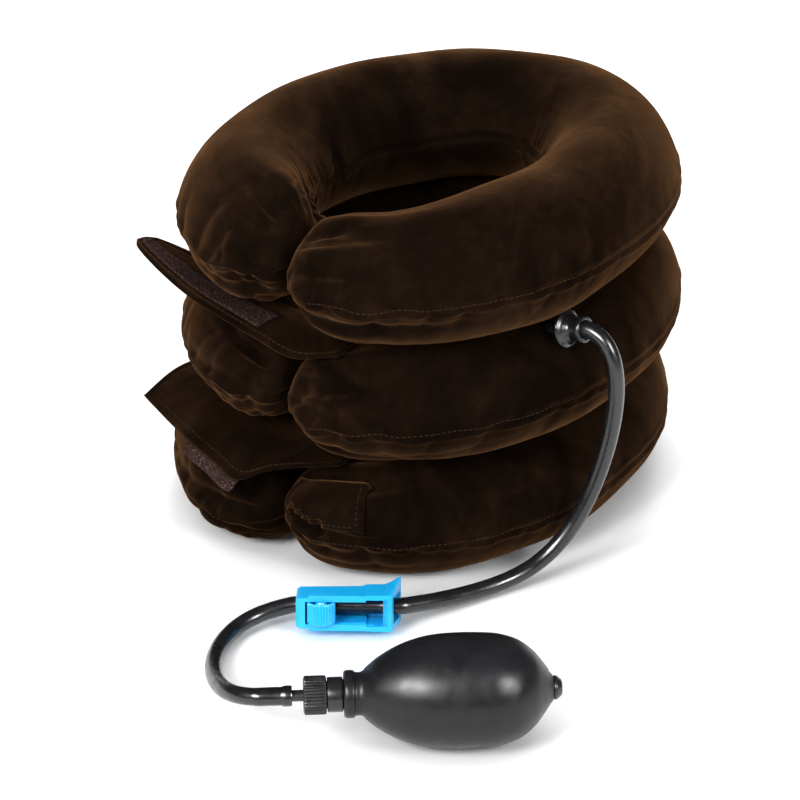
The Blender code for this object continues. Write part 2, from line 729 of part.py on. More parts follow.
def build_valve(plastic, rubber, steel):
    frame = bulb_frame()
    body = (
        (-61.6, 4.4), (-61.6, 5.6), (-54.4, 5.6), (-54.4, 7.5), (-47.8, 7.5), (-47.8, 6.3),
        (-36.0, 6.3), (-36.0, 2.0), (-44.0, 2.0), (-44.0, 4.4),
    )
    revolve("valve_body", scaled(body), plastic, frame, 20)
    stem = (
        (-83.0, 1.4), (-83.0, 2.3), (-80.0, 3.0), (-80.0, 2.5), (-77.0, 3.0), (-77.0, 2.5),
        (-74.0, 3.0), (-74.0, 2.5), (-56.0, 2.5), (-56.0, 4.1), (-52.5, 4.1), (-52.5, 1.4),
    )
    revolve("hose_stem", scaled(stem), plastic, frame, 16)
    cap = (
        (-64.6, 2.9), (-64.6, 7.6), (-64.0, 8.3), (-55.3, 8.3), (-54.7, 7.9), (-54.7, 5.9),
        (-63.5, 5.9), (-63.5, 2.9),
    )
    flutes = ((2, 3), 0.4 * MM)
    revolve("release_cap", scaled(cap), plastic, frame, 2 * CAP_RIBS, flutes)
    washer = ((-63.2, 2.9), (-63.2, 5.3), (-61.9, 5.3), (-61.9, 2.9))
    revolve("release_washer", scaled(washer), rubber, frame, 16)
    flap_front = Vector((-45.5 * MM, 0.0, 0.0))
    flap_back = Vector((-44.3 * MM, 0.0, 0.0))
    cylinder("outlet_valve_flap", flap_front, flap_back, 3.7 * MM, rubber, frame, 16)
    inlet = (
        (33.0, 2.4), (33.0, 3.4), (41.7, 3.4), (41.7, 5.2), (43.0, 5.2), (45.4, 3.2),
        (45.4, 1.2), (42.6, 1.2), (41.4, 2.4),
    )
    revolve("inlet_valve_body", scaled(inlet), plastic, frame, 20)
    retainer = ((33.2, 0.8), (33.2, 2.1), (34.6, 2.1), (34.6, 0.8))
    revolve("inlet_valve_retainer", scaled(retainer), plastic, frame, 16)
    build_valve_ball(steel)


def build_valve_ball(steel):
    radius = 1.7 * MM
    seat = bulb_frame() @ Vector((41.0 * MM, 0.0, 0.0))
    mesh = bpy.data.meshes.new("inlet_valve_ball")
    work = bmesh.new()
    bmesh.ops.create_icosphere(work, subdivisions=2, radius=radius)
    work.to_mesh(mesh)
    work.free()
    for polygon in mesh.polygons:
        polygon.use_smooth = True
    mesh.materials.append(steel)
    ball = bpy.data.objects.new("inlet_valve_ball", mesh)
    ball.matrix_world = frame_at(seat, BULB_BEARING)
    bpy.context.scene.collection.objects.link(ball)


def centre_on_footprint():
    for item in bpy.data.objects:
        item.location -= FOOTPRINT_CENTRE


def build():
    clear_scene()
    velour = make_material("brown_velour", (0.045, 0.022, 0.011), 0.95)
    hook = make_material("hook_tape", (0.16, 0.09, 0.08), 0.7)
    vinyl = make_material("vinyl", (0.05, 0.045, 0.04), 0.5)
    rubber = make_material("black_rubber", (0.012, 0.012, 0.013), 0.45)
    black_plastic = make_material("black_plastic", (0.015, 0.015, 0.016), 0.35)
    blue_plastic = make_material("blue_plastic", (0.01, 0.32, 0.85), 0.3)
    steel = make_material("steel", (0.6, 0.6, 0.62), 0.25, 1.0)
    sheets = build_cushions(velour)
    build_grommets(sheets, vinyl)
    build_top_strap(velour, hook)
    build_middle_strap(velour, hook)
    build_bottom_tab(velour)
    build_port(sheets, rubber)
    build_hose(rubber)
    build_clamp_housing(blue_plastic)
    build_clamp_roller(blue_plastic, steel)
    build_bulb(rubber)
    build_valve(black_plastic, rubber, steel)
    centre_on_footprint()


build()
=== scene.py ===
import json
import math
import random

import bmesh
import bpy
import numpy as np
from mathutils import Matrix, Vector


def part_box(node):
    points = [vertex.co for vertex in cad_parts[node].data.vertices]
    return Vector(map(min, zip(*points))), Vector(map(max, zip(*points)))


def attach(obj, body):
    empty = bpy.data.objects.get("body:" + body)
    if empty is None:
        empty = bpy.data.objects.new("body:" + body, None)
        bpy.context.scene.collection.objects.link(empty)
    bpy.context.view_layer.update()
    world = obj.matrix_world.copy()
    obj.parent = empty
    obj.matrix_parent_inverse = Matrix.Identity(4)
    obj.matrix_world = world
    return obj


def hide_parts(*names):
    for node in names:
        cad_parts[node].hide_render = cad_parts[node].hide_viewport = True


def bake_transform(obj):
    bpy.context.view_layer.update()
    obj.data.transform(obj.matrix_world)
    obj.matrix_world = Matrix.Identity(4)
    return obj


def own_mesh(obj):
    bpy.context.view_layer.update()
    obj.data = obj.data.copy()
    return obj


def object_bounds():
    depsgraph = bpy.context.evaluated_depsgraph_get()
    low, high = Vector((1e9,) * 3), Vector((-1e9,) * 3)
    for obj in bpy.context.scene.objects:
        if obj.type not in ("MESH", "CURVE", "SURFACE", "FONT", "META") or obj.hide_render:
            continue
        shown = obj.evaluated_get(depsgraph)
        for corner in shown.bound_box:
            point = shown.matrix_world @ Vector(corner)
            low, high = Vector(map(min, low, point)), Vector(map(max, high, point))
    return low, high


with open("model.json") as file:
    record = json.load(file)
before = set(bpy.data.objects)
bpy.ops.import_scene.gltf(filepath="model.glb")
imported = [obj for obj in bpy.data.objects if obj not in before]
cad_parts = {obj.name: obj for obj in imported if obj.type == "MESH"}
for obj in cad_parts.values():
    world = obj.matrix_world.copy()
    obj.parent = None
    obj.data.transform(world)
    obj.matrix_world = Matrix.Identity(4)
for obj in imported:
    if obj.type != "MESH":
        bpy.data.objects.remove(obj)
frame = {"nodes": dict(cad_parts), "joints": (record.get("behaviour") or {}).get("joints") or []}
cad_low, cad_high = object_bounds()

MM = 0.001
JOINTS = {joint["name"]: joint for joint in frame["joints"]}

# --- places taken from the frame ------------------------------------------------

TIERS = ("bottom", "middle", "top")
TIER_BODIES = ("base", "middle_tier", "top_tier")
TIER_JOINTS = ("middle_tier_drop", "top_tier_drop", "top_tier_drop")

collar_low, collar_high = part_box("bottom_tier_upper_sheet")
TIER_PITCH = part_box("middle_tier_lower_sheet")[0].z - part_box("bottom_tier_lower_sheet")[0].z

# The cushions' plan is an oval about this centre; the collar's own axis is close to it
collar_middle = (collar_low + collar_high) / 2.0
PLAN_CENTRE = np.array([collar_middle.x, collar_middle.y - 0.1 * MM])
COLLAR_AXIS = Vector((PLAN_CENTRE[0] - 1.0 * MM, PLAN_CENTRE[1] + 5.0 * MM, 0.0))

# --- cushion dimensions ---------------------------------------------------------

PLAN_HALF_WIDTH = 75.5 * MM
PLAN_HALF_LENGTH = 98.0 * MM
PLAN_POWER = 2.1
NAPE_NARROWING = 0.09
ARM_GAP = 2.0 * MM
THROAT_BEARING = math.radians(-82.0)
TUBE_HALF_WIDTH = 34.4 * MM
SEAM_HEIGHT = 30.0 * MM
CONTACT_GAP = 0.6 * MM
TOP_RISE = 35.6 * MM
CROWN_POWER = 0.62
TOP_CROWN_POWER = 0.70
CROWN_CLIP = 1.06
ARM_TIP_REACH = 36.0 * MM
ARM_TIP_POWER = 2.7
THROAT_SLACK = 0.12
SLACK_REACH = 135.0 * MM
TOP_ARM_FALL = 0.24
TOP_ARM_SLIMMING = 0.26
TOP_ARM_REACH = 115.0 * MM
STATIONS = 230
SECTION_POINTS = 72

# Puckers along the welded seam and folds fanning from the arm tips
PUCKER_SPACING = (6.5 * MM, 13.0 * MM)
PUCKER_DEPTH = 3.8 * MM
TIP_FOLD_DEPTH = 6.4 * MM
SEAM_HOLD = 2.6 * MM
TIP_FOLDS = 9
SEAM_WAVE = 0.9 * MM
LUMP_HEIGHT = 0.9 * MM

# Part of the fold depth that is pressed in before the cloth simulation; the rest comes after it
COARSE_FOLD_SHARE = 0.45
CLOTH_FRAMES = 14
SWELL_LIMIT = 4.0 * MM

# The stack settles towards the throat's right side. Each cushion also sits off the one below:
# shifted along the diagonal (1, 1) as a whole, and pulled along it at its left and right ends
SETTLE_DROP = 3.4 * MM
STACK_HEIGHT = cad_high.z
NEAR_SIDE = Vector((0.7, -0.7, 0.0))
LEAN_SHIFT = (1.0 * MM, 0.8 * MM, 1.0 * MM)
LEFT_PULL = (-2.5 * MM, 4.5 * MM, 5.5 * MM)
RIGHT_PULL = (0.0, 3.4 * MM, 0.0)
LEFT_ARM_SAG = 10.0 * MM

# Welded seam: groove and lip, and where the lip runs
SEAM_GROOVE = 0.9 * MM
SEAM_LIP = 0.55 * MM
SEAM_LIP_PLACE = 3.2 * MM
SEAM_SOFTNESS = 1.5 * MM

# Pitch, length and radius of the stitches
SEAM_STITCH = (2.6 * MM, 1.7 * MM, 0.24 * MM)
STRAP_STITCH = (3.0 * MM, 2.0 * MM, 0.25 * MM)

# Place along a stitch, from its middle, and thickness there, as shares of the whole
STITCH_RINGS = ((-0.5, 0.12), (-0.34, 0.75), (0.0, 1.0), (0.34, 0.75), (0.5, 0.12))
STITCH_SIDES = 6

HOSE_RADIUS = 3.8 * MM
STRAP_THICKNESS = 1.8 * MM
HOOK_TAPE_THICKNESS = 0.8 * MM
EDGE_ROUND = 1.3 * MM
HEM_RIDGE_PLACE = 2.2 * MM
HEM_RIDGE_WIDTH = 1.6 * MM
HEM_GROOVE_PLACE = 4.2 * MM
HEM_GROOVE_WIDTH = 0.9 * MM
CRUMPLE = 0.16 * MM


# --- small helpers --------------------------------------------------------------

def drape(item, tier, joint, slot, *nodes):
    """The soft piece rides its tier's body with a mesh of its own; the given nodes are hidden."""
    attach(item, TIER_BODIES[tier])
    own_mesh(item)
    if nodes:
        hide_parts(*nodes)


def smoothstep(low, high, value):
    ratio = np.clip((value - low) / (high - low), 0.0, 1.0)
    return ratio * ratio * (3.0 - 2.0 * ratio)


def bell(value, place, width):
    return np.exp(-(((value - place) / width) ** 2))


def run_lengths(path):
    """Length along the path up to each of its points."""
    return np.concatenate([[0.0], np.cumsum(np.linalg.norm(np.diff(path, axis=0), axis=1))])


def sample(at, places, rows):
    """Rows of values, read at new places along them."""
    return np.stack([np.interp(at, places, column) for column in rows.T], -1)


def mount(item, body, slot, *nodes):
    """The rigid piece rides the body."""
    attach(item, body)
    if nodes:
        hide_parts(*nodes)


def add_object(name, data):
    item = bpy.data.objects.new(name, data)
    bpy.context.scene.collection.objects.link(item)
    return item


def make_object(name, vertices, faces, material, smooth=True):
    mesh = bpy.data.meshes.new(name)
    mesh.from_pydata([tuple(vertex) for vertex in vertices], [], faces)
    work = bmesh.new()
    work.from_mesh(mesh)
    bmesh.ops.recalc_face_normals(work, faces=work.faces[:])
    work.to_mesh(mesh)
    work.free()
    mesh.materials.append(material)
    for polygon in mesh.polygons:
        polygon.use_smooth = smooth
    return add_object(name, mesh)


def grid_faces(rows, columns, first=0, close_rows=False, close_columns=True):
    """Quads of a grid of vertices stored row by row, joined into a ring where asked."""
    faces = []
    for row in range(rows if close_rows else rows - 1):
        here = first + row * columns
        there = first + (row + 1) % rows * columns
        for column in range(columns if close_columns else columns - 1):
            after = (column + 1) % columns
            faces.append((here + column, here + after, there + after, there + column))
    return faces


def stack_faces(rings, sides, first=0):
    """Sides and both ends of a closed stack of rings."""
    last = first + (rings - 1) * sides
    ends = [tuple(range(first, first + sides)), tuple(range(last, last + sides))]
    return ends + grid_faces(rings, sides, first)


def catmull_rom(points, steps):
    """Smooth samples through control points given as an array of rows."""
    points = np.asarray(points, float)
    padded = np.concatenate([2 * points[:1] - points[1:2], points, 2 * points[-1:] - points[-2:-1]])
    samples = []
    for index in range(len(points) - 1):
        first, second, third, fourth = padded[index:index + 4]
        for step in range(steps):
            share = step / steps
            samples.append(0.5 * (
                2.0 * second
                + (third - first) * share
                + (2.0 * first - 5.0 * second + 4.0 * third - fourth) * share ** 2
                + (3.0 * second - first - 3.0 * third + fourth) * share ** 3
            ))
    samples.append(points[-1])
    return np.array(samples)


def finish_edges(item, angle):
    item.data.set_sharp_from_angle(angle=math.radians(angle))


def apply_modifiers(item):
    depsgraph = bpy.context.evaluated_depsgraph_get()
    mesh = bpy.data.meshes.new_from_object(item.evaluated_get(depsgraph))
    item.modifiers.clear()
    item.data = mesh


# --- materials ------------------------------------------------------------------

def fill(node, **values):
    """Set inputs of a shader node by name, with underscores for spaces."""
    for key, value in values.items():
        node.inputs[key.replace("_", " ")].default_value = value


class NodeMaterial:
    """A node material with a Principled shader, its textures placed by world position."""

    def __init__(self, name):
        self.material = bpy.data.materials.new(name)
        self.material.use_nodes = True
        self.tree = self.material.node_tree
        self.shader = self.tree.nodes["Principled BSDF"]
        self.position = self.add("ShaderNodeNewGeometry").outputs["Position"]

    def add(self, kind, **values):
        node = self.tree.nodes.new(kind)
        for key, value in values.items():
            setattr(node, key, value)
        return node

    def link(self, source, target):
        self.tree.links.new(source, target)

    def feed(self, socket, source):
        self.link(source, self.shader.inputs[socket])

    def set(self, **values):
        fill(self.shader, **values)

    def noise(self, scale, detail=4.0, roughness=0.55, distortion=0.0):
        node = self.add("ShaderNodeTexNoise")
        self.link(self.position, node.inputs["Vector"])
        fill(node, Scale=scale, Detail=detail, Roughness=roughness, Distortion=distortion)
        return node.outputs["Fac"]

    def ramp(self, source, stops):
        node = self.add("ShaderNodeValToRGB")
        self.link(source, node.inputs["Fac"])
        elements = node.color_ramp.elements
        while len(elements) < len(stops):
            elements.new(0.5)
        for element, (place, colour) in zip(elements, stops):
            element.position = place
            element.color = (*colour, 1.0) if len(colour) == 3 else colour
        return node.outputs["Color"]

    def value_ramp(self, source, low, high, start=0.0, end=1.0):
        node = self.add("ShaderNodeMapRange")
        self.link(source, node.inputs["Value"])
        fill(node, From_Min=start, From_Max=end, To_Min=low, To_Max=high)
        return node.outputs["Result"]

    def mix(self, share, first, second):
        node = self.add("ShaderNodeMix", data_type="RGBA")
        self.link(share, node.inputs["Factor"])
        for socket, source in ((node.inputs[6], first), (node.inputs[7], second)):
            if isinstance(source, tuple):
                socket.default_value = (*source, 1.0)
            else:
                self.link(source, socket)
        return node.outputs[2]

    def multiply(self, first, second):
        node = self.add("ShaderNodeMath", operation="MULTIPLY")
        self.link(first, node.inputs[0])
        self.link(second, node.inputs[1])
        return node.outputs[0]

    def facing(self, blend):
        node = self.add("ShaderNodeLayerWeight")
        fill(node, Blend=blend)
        return node.outputs["Facing"]

    def bump(self, height, distance, strength=1.0, below=None):
        node = self.add("ShaderNodeBump")
        fill(node, Distance=distance, Strength=strength)
        self.link(height, node.inputs["Height"])
        if below is not None:
            self.link(below, node.inputs["Normal"])
        return node.outputs["Normal"]


def velour_material():
    """Short brown pile: nearly black face on and warmer where brushed, with a painted sheen lightening its
    colour at glancing angles.
    """
    made = NodeMaterial("velour")
    patches = made.noise(17.0, 6.0, 0.62, 1.6)
    streaks = made.noise(75.0, 4.0, 0.65, 0.8)
    brushed_share = made.multiply(
        made.value_ramp(patches, 0.0, 1.0, 0.38, 0.66), made.value_ramp(streaks, 0.25, 1.0, 0.3, 0.7))
    face_on = made.mix(brushed_share, (0.0040, 0.0024, 0.0017), (0.0155, 0.0080, 0.0044))
    # Painted sheen: towards glancing view angles the base colour turns from the face-on tones to the
    # lighter rim tones
    greys = ((0.18, (0.0, 0.0, 0.0)), (0.60, (0.30, 0.30, 0.30)), (1.0, (1.0, 1.0, 1.0)))
    painted_sheen_share = made.ramp(made.facing(0.36), greys)
    # The rim tones are the painted sheen colour, lighter again where the pile is brushed
    rim = made.mix(brushed_share, (0.026, 0.0120, 0.0055), (0.125, 0.060, 0.026))
    made.feed("Base Color", made.mix(painted_sheen_share, face_on, rim))
    made.set(Roughness=0.95, Specular_IOR_Level=0.0, Sheen_Weight=0.30, Sheen_Roughness=0.30,
             Sheen_Tint=(0.52, 0.26, 0.11, 1.0))
    soft = made.bump(made.noise(230.0, 3.0, 0.6), 0.0005, 0.45)
    made.feed("Normal", made.bump(made.noise(2400.0, 2.0, 0.7), 0.00028, 0.8, soft))
    return made.material


def stitch_material():
    made = NodeMaterial("stitch_thread")
    tone = made.ramp(made.noise(900.0), ((0.3, (0.014, 0.0066, 0.0034)), (0.7, (0.050, 0.024, 0.012))))
    made.feed("Base Color", tone)
    made.set(Roughness=0.85, Specular_IOR_Level=0.1)
    made.feed("Normal", made.bump(made.noise(3800.0), 0.0001, 0.6))
    return made.material


def hook_material():
    """Woven hook tape, dark, with bright specks painted into its colour as glints off its tiny nylon hooks.
    """
    made = NodeMaterial("hook_tape")
    grain = made.noise(1500.0, 2.0, 0.7)
    # The lightest tone is a painted glint, not the tape's own colour; the darker two are its woven tone
    tones = ((0.42, (0.016, 0.0075, 0.0062)), (0.60, (0.044, 0.023, 0.020)), (0.72, (0.30, 0.20, 0.17)))
    made.feed("Base Color", made.ramp(grain, tones))
    made.set(Specular_IOR_Level=0.06)
    made.feed("Roughness", made.value_ramp(grain, 0.70, 0.30, 0.4, 0.7))
    made.feed("Normal", made.bump(grain, 0.0004, 0.9))
    return made.material


def moulded_material(name, tones, roughness, grain_depth, coat=0.0, shine=0.5):
    """Moulded rubber or plastic: slight tone and gloss variation and a fine grain."""
    made = NodeMaterial(name)
    broad = made.noise(55.0, 4.0, 0.6)
    made.feed("Base Color", made.ramp(broad, ((0.3, tones[0]), (0.7, tones[1]))))
    made.feed("Roughness", made.value_ramp(made.noise(180.0), *roughness, 0.35, 0.65))
    made.set(Coat_Weight=coat, Coat_Roughness=0.08, Specular_IOR_Level=shine)
    made.feed("Normal", made.bump(made.noise(1900.0), grain_depth, 0.5))
    return made.material


def steel_material():
    made = NodeMaterial("polished_steel")
    made.feed("Roughness", made.value_ramp(made.noise(700.0), 0.16, 0.34))
    tones = ((0.3, (0.50, 0.50, 0.52)), (0.7, (0.68, 0.68, 0.70)))
    made.feed("Base Color", made.ramp(made.noise(90.0), tones))
    made.set(Metallic=1.0)
    return made.material


VELOUR = velour_material()
THREAD = stitch_material()
HOOK = hook_material()
RUBBER_TONES = ((0.006, 0.006, 0.007), (0.012, 0.012, 0.014))
BLACK_TONES = ((0.007, 0.007, 0.008), (0.014, 0.014, 0.015))
BLUE_TONES = ((0.008, 0.43, 0.92), (0.012, 0.50, 0.98))
VINYL_TONES = ((0.03, 0.025, 0.022), (0.05, 0.043, 0.038))
HOSE_RUBBER = moulded_material("hose_rubber", RUBBER_TONES, (0.22, 0.32), 0.00003, 0.20)
BULB_RUBBER = moulded_material("bulb_rubber", RUBBER_TONES, (0.30, 0.40), 0.00005, 0.0, 0.3)
BLACK_PLASTIC = moulded_material("black_plastic", BLACK_TONES, (0.22, 0.34), 0.00005)
BLUE_PLASTIC = moulded_material("blue_plastic", BLUE_TONES, (0.28, 0.34), 0.00001, 0.10)
VINYL = moulded_material("vinyl", VINYL_TONES, (0.4, 0.5), 0.00008)
STEEL = steel_material()


# --- cushions -------------------------------------------------------------------

def signed_power(values, power):
    return np.sign(values) * np.abs(values) ** power


class Plan:
    """Centreline of the cushions, measured from the right arm tip to the left one."""

    def __init__(self):
        angles = THROAT_BEARING + np.linspace(0.0, 2.0 * math.pi, 2881)
        forward = signed_power(np.sin(angles), 2.0 / PLAN_POWER)
        sideways = signed_power(np.cos(angles), 2.0 / PLAN_POWER) * (1.0 - NAPE_NARROWING * forward)
        self.points = PLAN_CENTRE + np.stack([PLAN_HALF_WIDTH * sideways, PLAN_HALF_LENGTH * forward], 1)
        self.lengths = run_lengths(self.points)
        tangents = np.gradient(self.points, self.lengths, axis=0)
        tangents /= np.linalg.norm(tangents, axis=1)[:, None]
        self.outward = np.stack([tangents[:, 1], -tangents[:, 0]], 1)
        self.arm_length = self.lengths[-1] - ARM_GAP

    def at(self, distance):
        target = distance + ARM_GAP / 2.0
        outward = sample(target, self.lengths, self.outward)
        outward /= np.linalg.norm(outward, axis=-1, keepdims=True)
        return sample(target, self.lengths, self.points), outward


PLAN = Plan()


def station_distances():
    """Stations along the arm, closer together at the rounded tips."""
    share = np.linspace(0.0, 1.0, STATIONS)
    eased = share - 0.13 * np.sin(2.0 * math.pi * share) / math.pi
    crowd = 0.5 - 0.5 * np.cos(math.pi * eased)
    return PLAN.arm_length * (0.72 * eased + 0.28 * crowd)


def section_angles():
    """Angles round the section, closer together at the two seams (0 and pi)."""
    angles = np.linspace(0.0, 2.0 * math.pi, SECTION_POINTS, endpoint=False)
    return angles - 0.22 * np.sin(2.0 * angles)


def seam_distances(grid):
    """Of each point, its way round the section to the outer and to the nearer seam, and the girth."""
    side = np.linalg.norm(np.diff(grid, axis=1, append=grid[:, :1]), axis=2)
    run = np.cumsum(side, axis=1) - side
    girth = side.sum(axis=1, keepdims=True)
    outer_run = np.minimum(run, girth - run)
    return outer_run, np.minimum(outer_run, girth / 2.0 - outer_run), girth


def cushion_grid(tier, distances, angles):
    """Smooth cushion as a grid of points, with what the folds need to know of each."""
    distance = distances[:, None]
    angle = angles[None, :]
    across = np.cos(angle)
    upper = np.sin(angle) >= 0.0
    from_tip = np.minimum(distance, PLAN.arm_length - distance)
    ratio = np.clip(from_tip / ARM_TIP_REACH, 0.0, 1.0)
    taper = (1.0 - (1.0 - ratio) ** ARM_TIP_POWER) ** (1.0 / ARM_TIP_POWER)
    slack = 1.0 - THROAT_SLACK * (1.0 - smoothstep(0.0, SLACK_REACH, from_tip))
    seam = SEAM_HEIGHT - CONTACT_GAP / 2.0
    rise_up = TIER_PITCH - SEAM_HEIGHT - CONTACT_GAP / 2.0
    clip = CROWN_CLIP * np.ones_like(angle)
    if tier == 2:
        rise_up = TOP_RISE
        clip = np.where(upper, 1.0, CROWN_CLIP)
    down_slack = slack if tier > 0 else np.ones_like(slack)
    up_slack = slack if tier < 2 else np.ones_like(slack)
    if tier == 2:
        thinning = 1.0 - smoothstep(0.0, TOP_ARM_REACH, distance)
        up_slack = up_slack * (1.0 - TOP_ARM_FALL * thinning)
        across = np.where(across < 0.0, across * (1.0 - TOP_ARM_SLIMMING * thinning), across)
    rise = np.where(upper, rise_up * up_slack, -seam * down_slack) * taper
    power = np.where(upper & (tier == 2), TOP_CROWN_POWER, CROWN_POWER)
    crown = np.minimum(1.0, clip * np.abs(np.sin(angle)) ** (2.0 * power))
    point, outward = PLAN.at(distance[:, 0])
    half_width = TUBE_HALF_WIDTH * taper
    flat = point[:, None, :] + outward[:, None, :] * (half_width * across)[..., None]
    height = tier * TIER_PITCH + SEAM_HEIGHT + rise * crown
    grid = np.concatenate([flat, height[..., None]], axis=2)
    outer_run, seam_run, girth = seam_distances(grid)
    return grid, {
        "distance": distance,
        "from_tip": from_tip,
        "angle": angle,
        "turn": outer_run / np.maximum(girth / 2.0, 1e-6),
        "upper": np.broadcast_to(upper, seam_run.shape),
        "seam_run": np.maximum(seam_run, 0.0),
    }


def grid_normals(grid):
    along = np.gradient(grid, axis=0)
    around = np.roll(grid, -1, axis=1) - np.roll(grid, 1, axis=1)
    normal = np.cross(around, along)
    length = np.linalg.norm(normal, axis=2, keepdims=True)
    normal = normal / np.maximum(length, 1e-12)
    centre = grid.mean(axis=1, keepdims=True)
    facing = ((grid - centre) * normal).sum(axis=2).sum()
    return normal if facing > 0.0 else -normal


def cusp(offset):
    """Rounded swell either side of a sharp valley."""
    return np.exp(-(np.abs(offset) ** 1.3))


def seam_puckers(rng, spots):
    """Valleys that start at the seam and run a little way up or down the sheet."""
    depth = np.zeros_like(spots["seam_run"])
    for is_upper in (True, False):
        place = 6.0 * MM
        while place < PLAN.arm_length - 6.0 * MM:
            near_tip = min(place, PLAN.arm_length - place)
            strength = 0.22 + 0.78 * math.exp(-((near_tip / (80.0 * MM)) ** 2))
            amount = PUCKER_DEPTH * strength * rng.uniform(0.35, 1.0)
            width = rng.uniform(2.4, 4.2) * MM
            length = rng.uniform(7.0, 16.0) * MM * (0.6 + strength)
            slant = rng.uniform(-0.4, 0.4)
            offset = (spots["distance"] - place - slant * spots["seam_run"]) / width
            valley = amount * cusp(offset) * np.exp(-((spots["seam_run"] / length) ** 1.6))
            valley = valley * smoothstep(0.0, SEAM_HOLD, spots["seam_run"])
            depth += np.where(spots["upper"] == is_upper, valley, 0.0)
            place += rng.uniform(*PUCKER_SPACING)
    return depth


def tip_folds(rng, spots):
    """Folds that fan out over the dome from each arm tip; turn runs from outer to inner seam."""
    depth = np.zeros_like(spots["seam_run"])
    from_tip = spots["from_tip"]
    at_start = spots["distance"] < PLAN.arm_length / 2.0
    for start in (True, False):
        for is_upper in (True, False):
            for fold in range(TIP_FOLDS):
                centre = 0.05 + 0.90 * (fold + rng.uniform(0.2, 0.8)) / TIP_FOLDS
                amount = TIP_FOLD_DEPTH * rng.uniform(0.3, 1.0)
                width = rng.uniform(0.024, 0.050)
                length = rng.uniform(22.0, 62.0) * MM
                bend = rng.uniform(-0.12, 0.12) * from_tip / (40.0 * MM)
                valley = amount * cusp((spots["turn"] - centre - bend) / width)
                valley = valley * smoothstep(0.0, 7.0 * MM, from_tip) * bell(from_tip, 0.0, length)
                valley = valley * smoothstep(0.0, SEAM_HOLD, spots["seam_run"])
                depth += np.where((at_start == start) & (spots["upper"] == is_upper), valley, 0.0)
    return depth


def slow_lumps(rng, spots, amount):
    """Gentle unevenness of a hand-filled cushion."""
    field = np.zeros_like(spots["seam_run"])
    for _ in range(9):
        along = rng.uniform(2.0, 11.0) * 2.0 * math.pi / PLAN.arm_length
        around = rng.choice((0, 1, 1, 2, 3))
        phase = rng.uniform(0.0, 2.0 * math.pi)
        field += np.sin(along * spots["distance"] + around * spots["angle"] + phase) * rng.uniform(0.3, 1.0)
    return amount * field / 3.0


def seam_wave(rng, spots):
    """Rise and fall of the gathered seam, strongest near the arm tips."""
    wave = np.zeros_like(spots["distance"])
    for _ in range(5):
        length = rng.uniform(13.0, 34.0) * MM
        wave = wave + np.sin(2.0 * math.pi * spots["distance"] / length + rng.uniform(0.0, 2.0 * math.pi))
    strength = 0.25 + 0.75 * bell(spots["from_tip"], 0.0, 85.0 * MM)
    close = bell(spots["seam_run"], 0.0, 9.0 * MM)
    return SEAM_WAVE * wave / 2.2 * strength * close * smoothstep(0.0, 12.0 * MM, spots["from_tip"])


def pointed_tuck(tier, spots):
    """Pointed fold in the middle cushion's right arm tip."""
    if tier != 1:
        return 0.0
    distance = spots["distance"]
    valley = cusp((spots["turn"] - 0.15 - distance / (420.0 * MM)) / 0.05)
    ridge = bell(spots["turn"], 0.27 + distance / (240.0 * MM), 0.06)
    reach = smoothstep(1.0 * MM, 8.0 * MM, distance) * bell(distance, 0.0, 40.0 * MM)
    return np.where(spots["upper"], (5.6 * MM * valley - 2.6 * MM * ridge) * reach, 0.0)


def folded(grid, tier, spots, share, uneven):
    """The grid with a share of its folds pressed in, and its unevenness if asked."""
    rng = random.Random(40 + tier)
    depth = seam_puckers(rng, spots) + tip_folds(rng, spots)
    depth = depth + pointed_tuck(tier, spots)
    lumps = slow_lumps(rng, spots, LUMP_HEIGHT)
    wave = seam_wave(rng, spots)
    taper = smoothstep(0.0, 10.0 * MM, spots["from_tip"])
    if not uneven:
        lumps = 0.0
        wave = 0.0
    moved = grid - grid_normals(grid) * ((depth * share + lumps) * taper)[..., None]
    moved[..., 2] += wave
    return moved


def settle(grid):
    """The whole stack sinks a little on its near side; floor and top stay put."""
    offset = grid[..., :2] - PLAN_CENTRE
    near = (offset[..., 0] * NEAR_SIDE.x + offset[..., 1] * NEAR_SIDE.y) / (100.0 * MM)
    bump = np.sin(np.clip(grid[..., 2] / STACK_HEIGHT, 0.0, 1.0) * math.pi)
    settled = grid.copy()
    settled[..., 2] -= SETTLE_DROP * np.clip(near, -0.8, 1.2) * bump
    return settled


def lean(grid, tier):
    """Each cushion sits a few millimetres off the one below."""
    offset = grid[..., :2] - PLAN_CENTRE
    across = (offset[..., 0] + offset[..., 1]) * math.sqrt(0.5)
    left = smoothstep(20.0 * MM, 120.0 * MM, -across)
    right = smoothstep(20.0 * MM, 110.0 * MM, across)
    moved = LEAN_SHIFT[tier] + LEFT_PULL[tier] * left + RIGHT_PULL[tier] * right
    leaned = grid.copy()
    leaned[..., :2] += moved[..., None] * math.sqrt(0.5)
    return leaned


def sag_left_arm(grid, tier, distance):
    """The bottom cushion's left arm rests on the ground, so its seam sits lower."""
    if tier > 0:
        return grid
    near_tip = 1.0 - smoothstep(30.0 * MM, 150.0 * MM, PLAN.arm_length - distance)
    bump = np.sin(np.clip(grid[..., 2] / TIER_PITCH, 0.0, 1.0) * math.pi)
    sagged = grid.copy()
    sagged[..., 2] -= LEFT_ARM_SAG * near_tip * bump
    return sagged


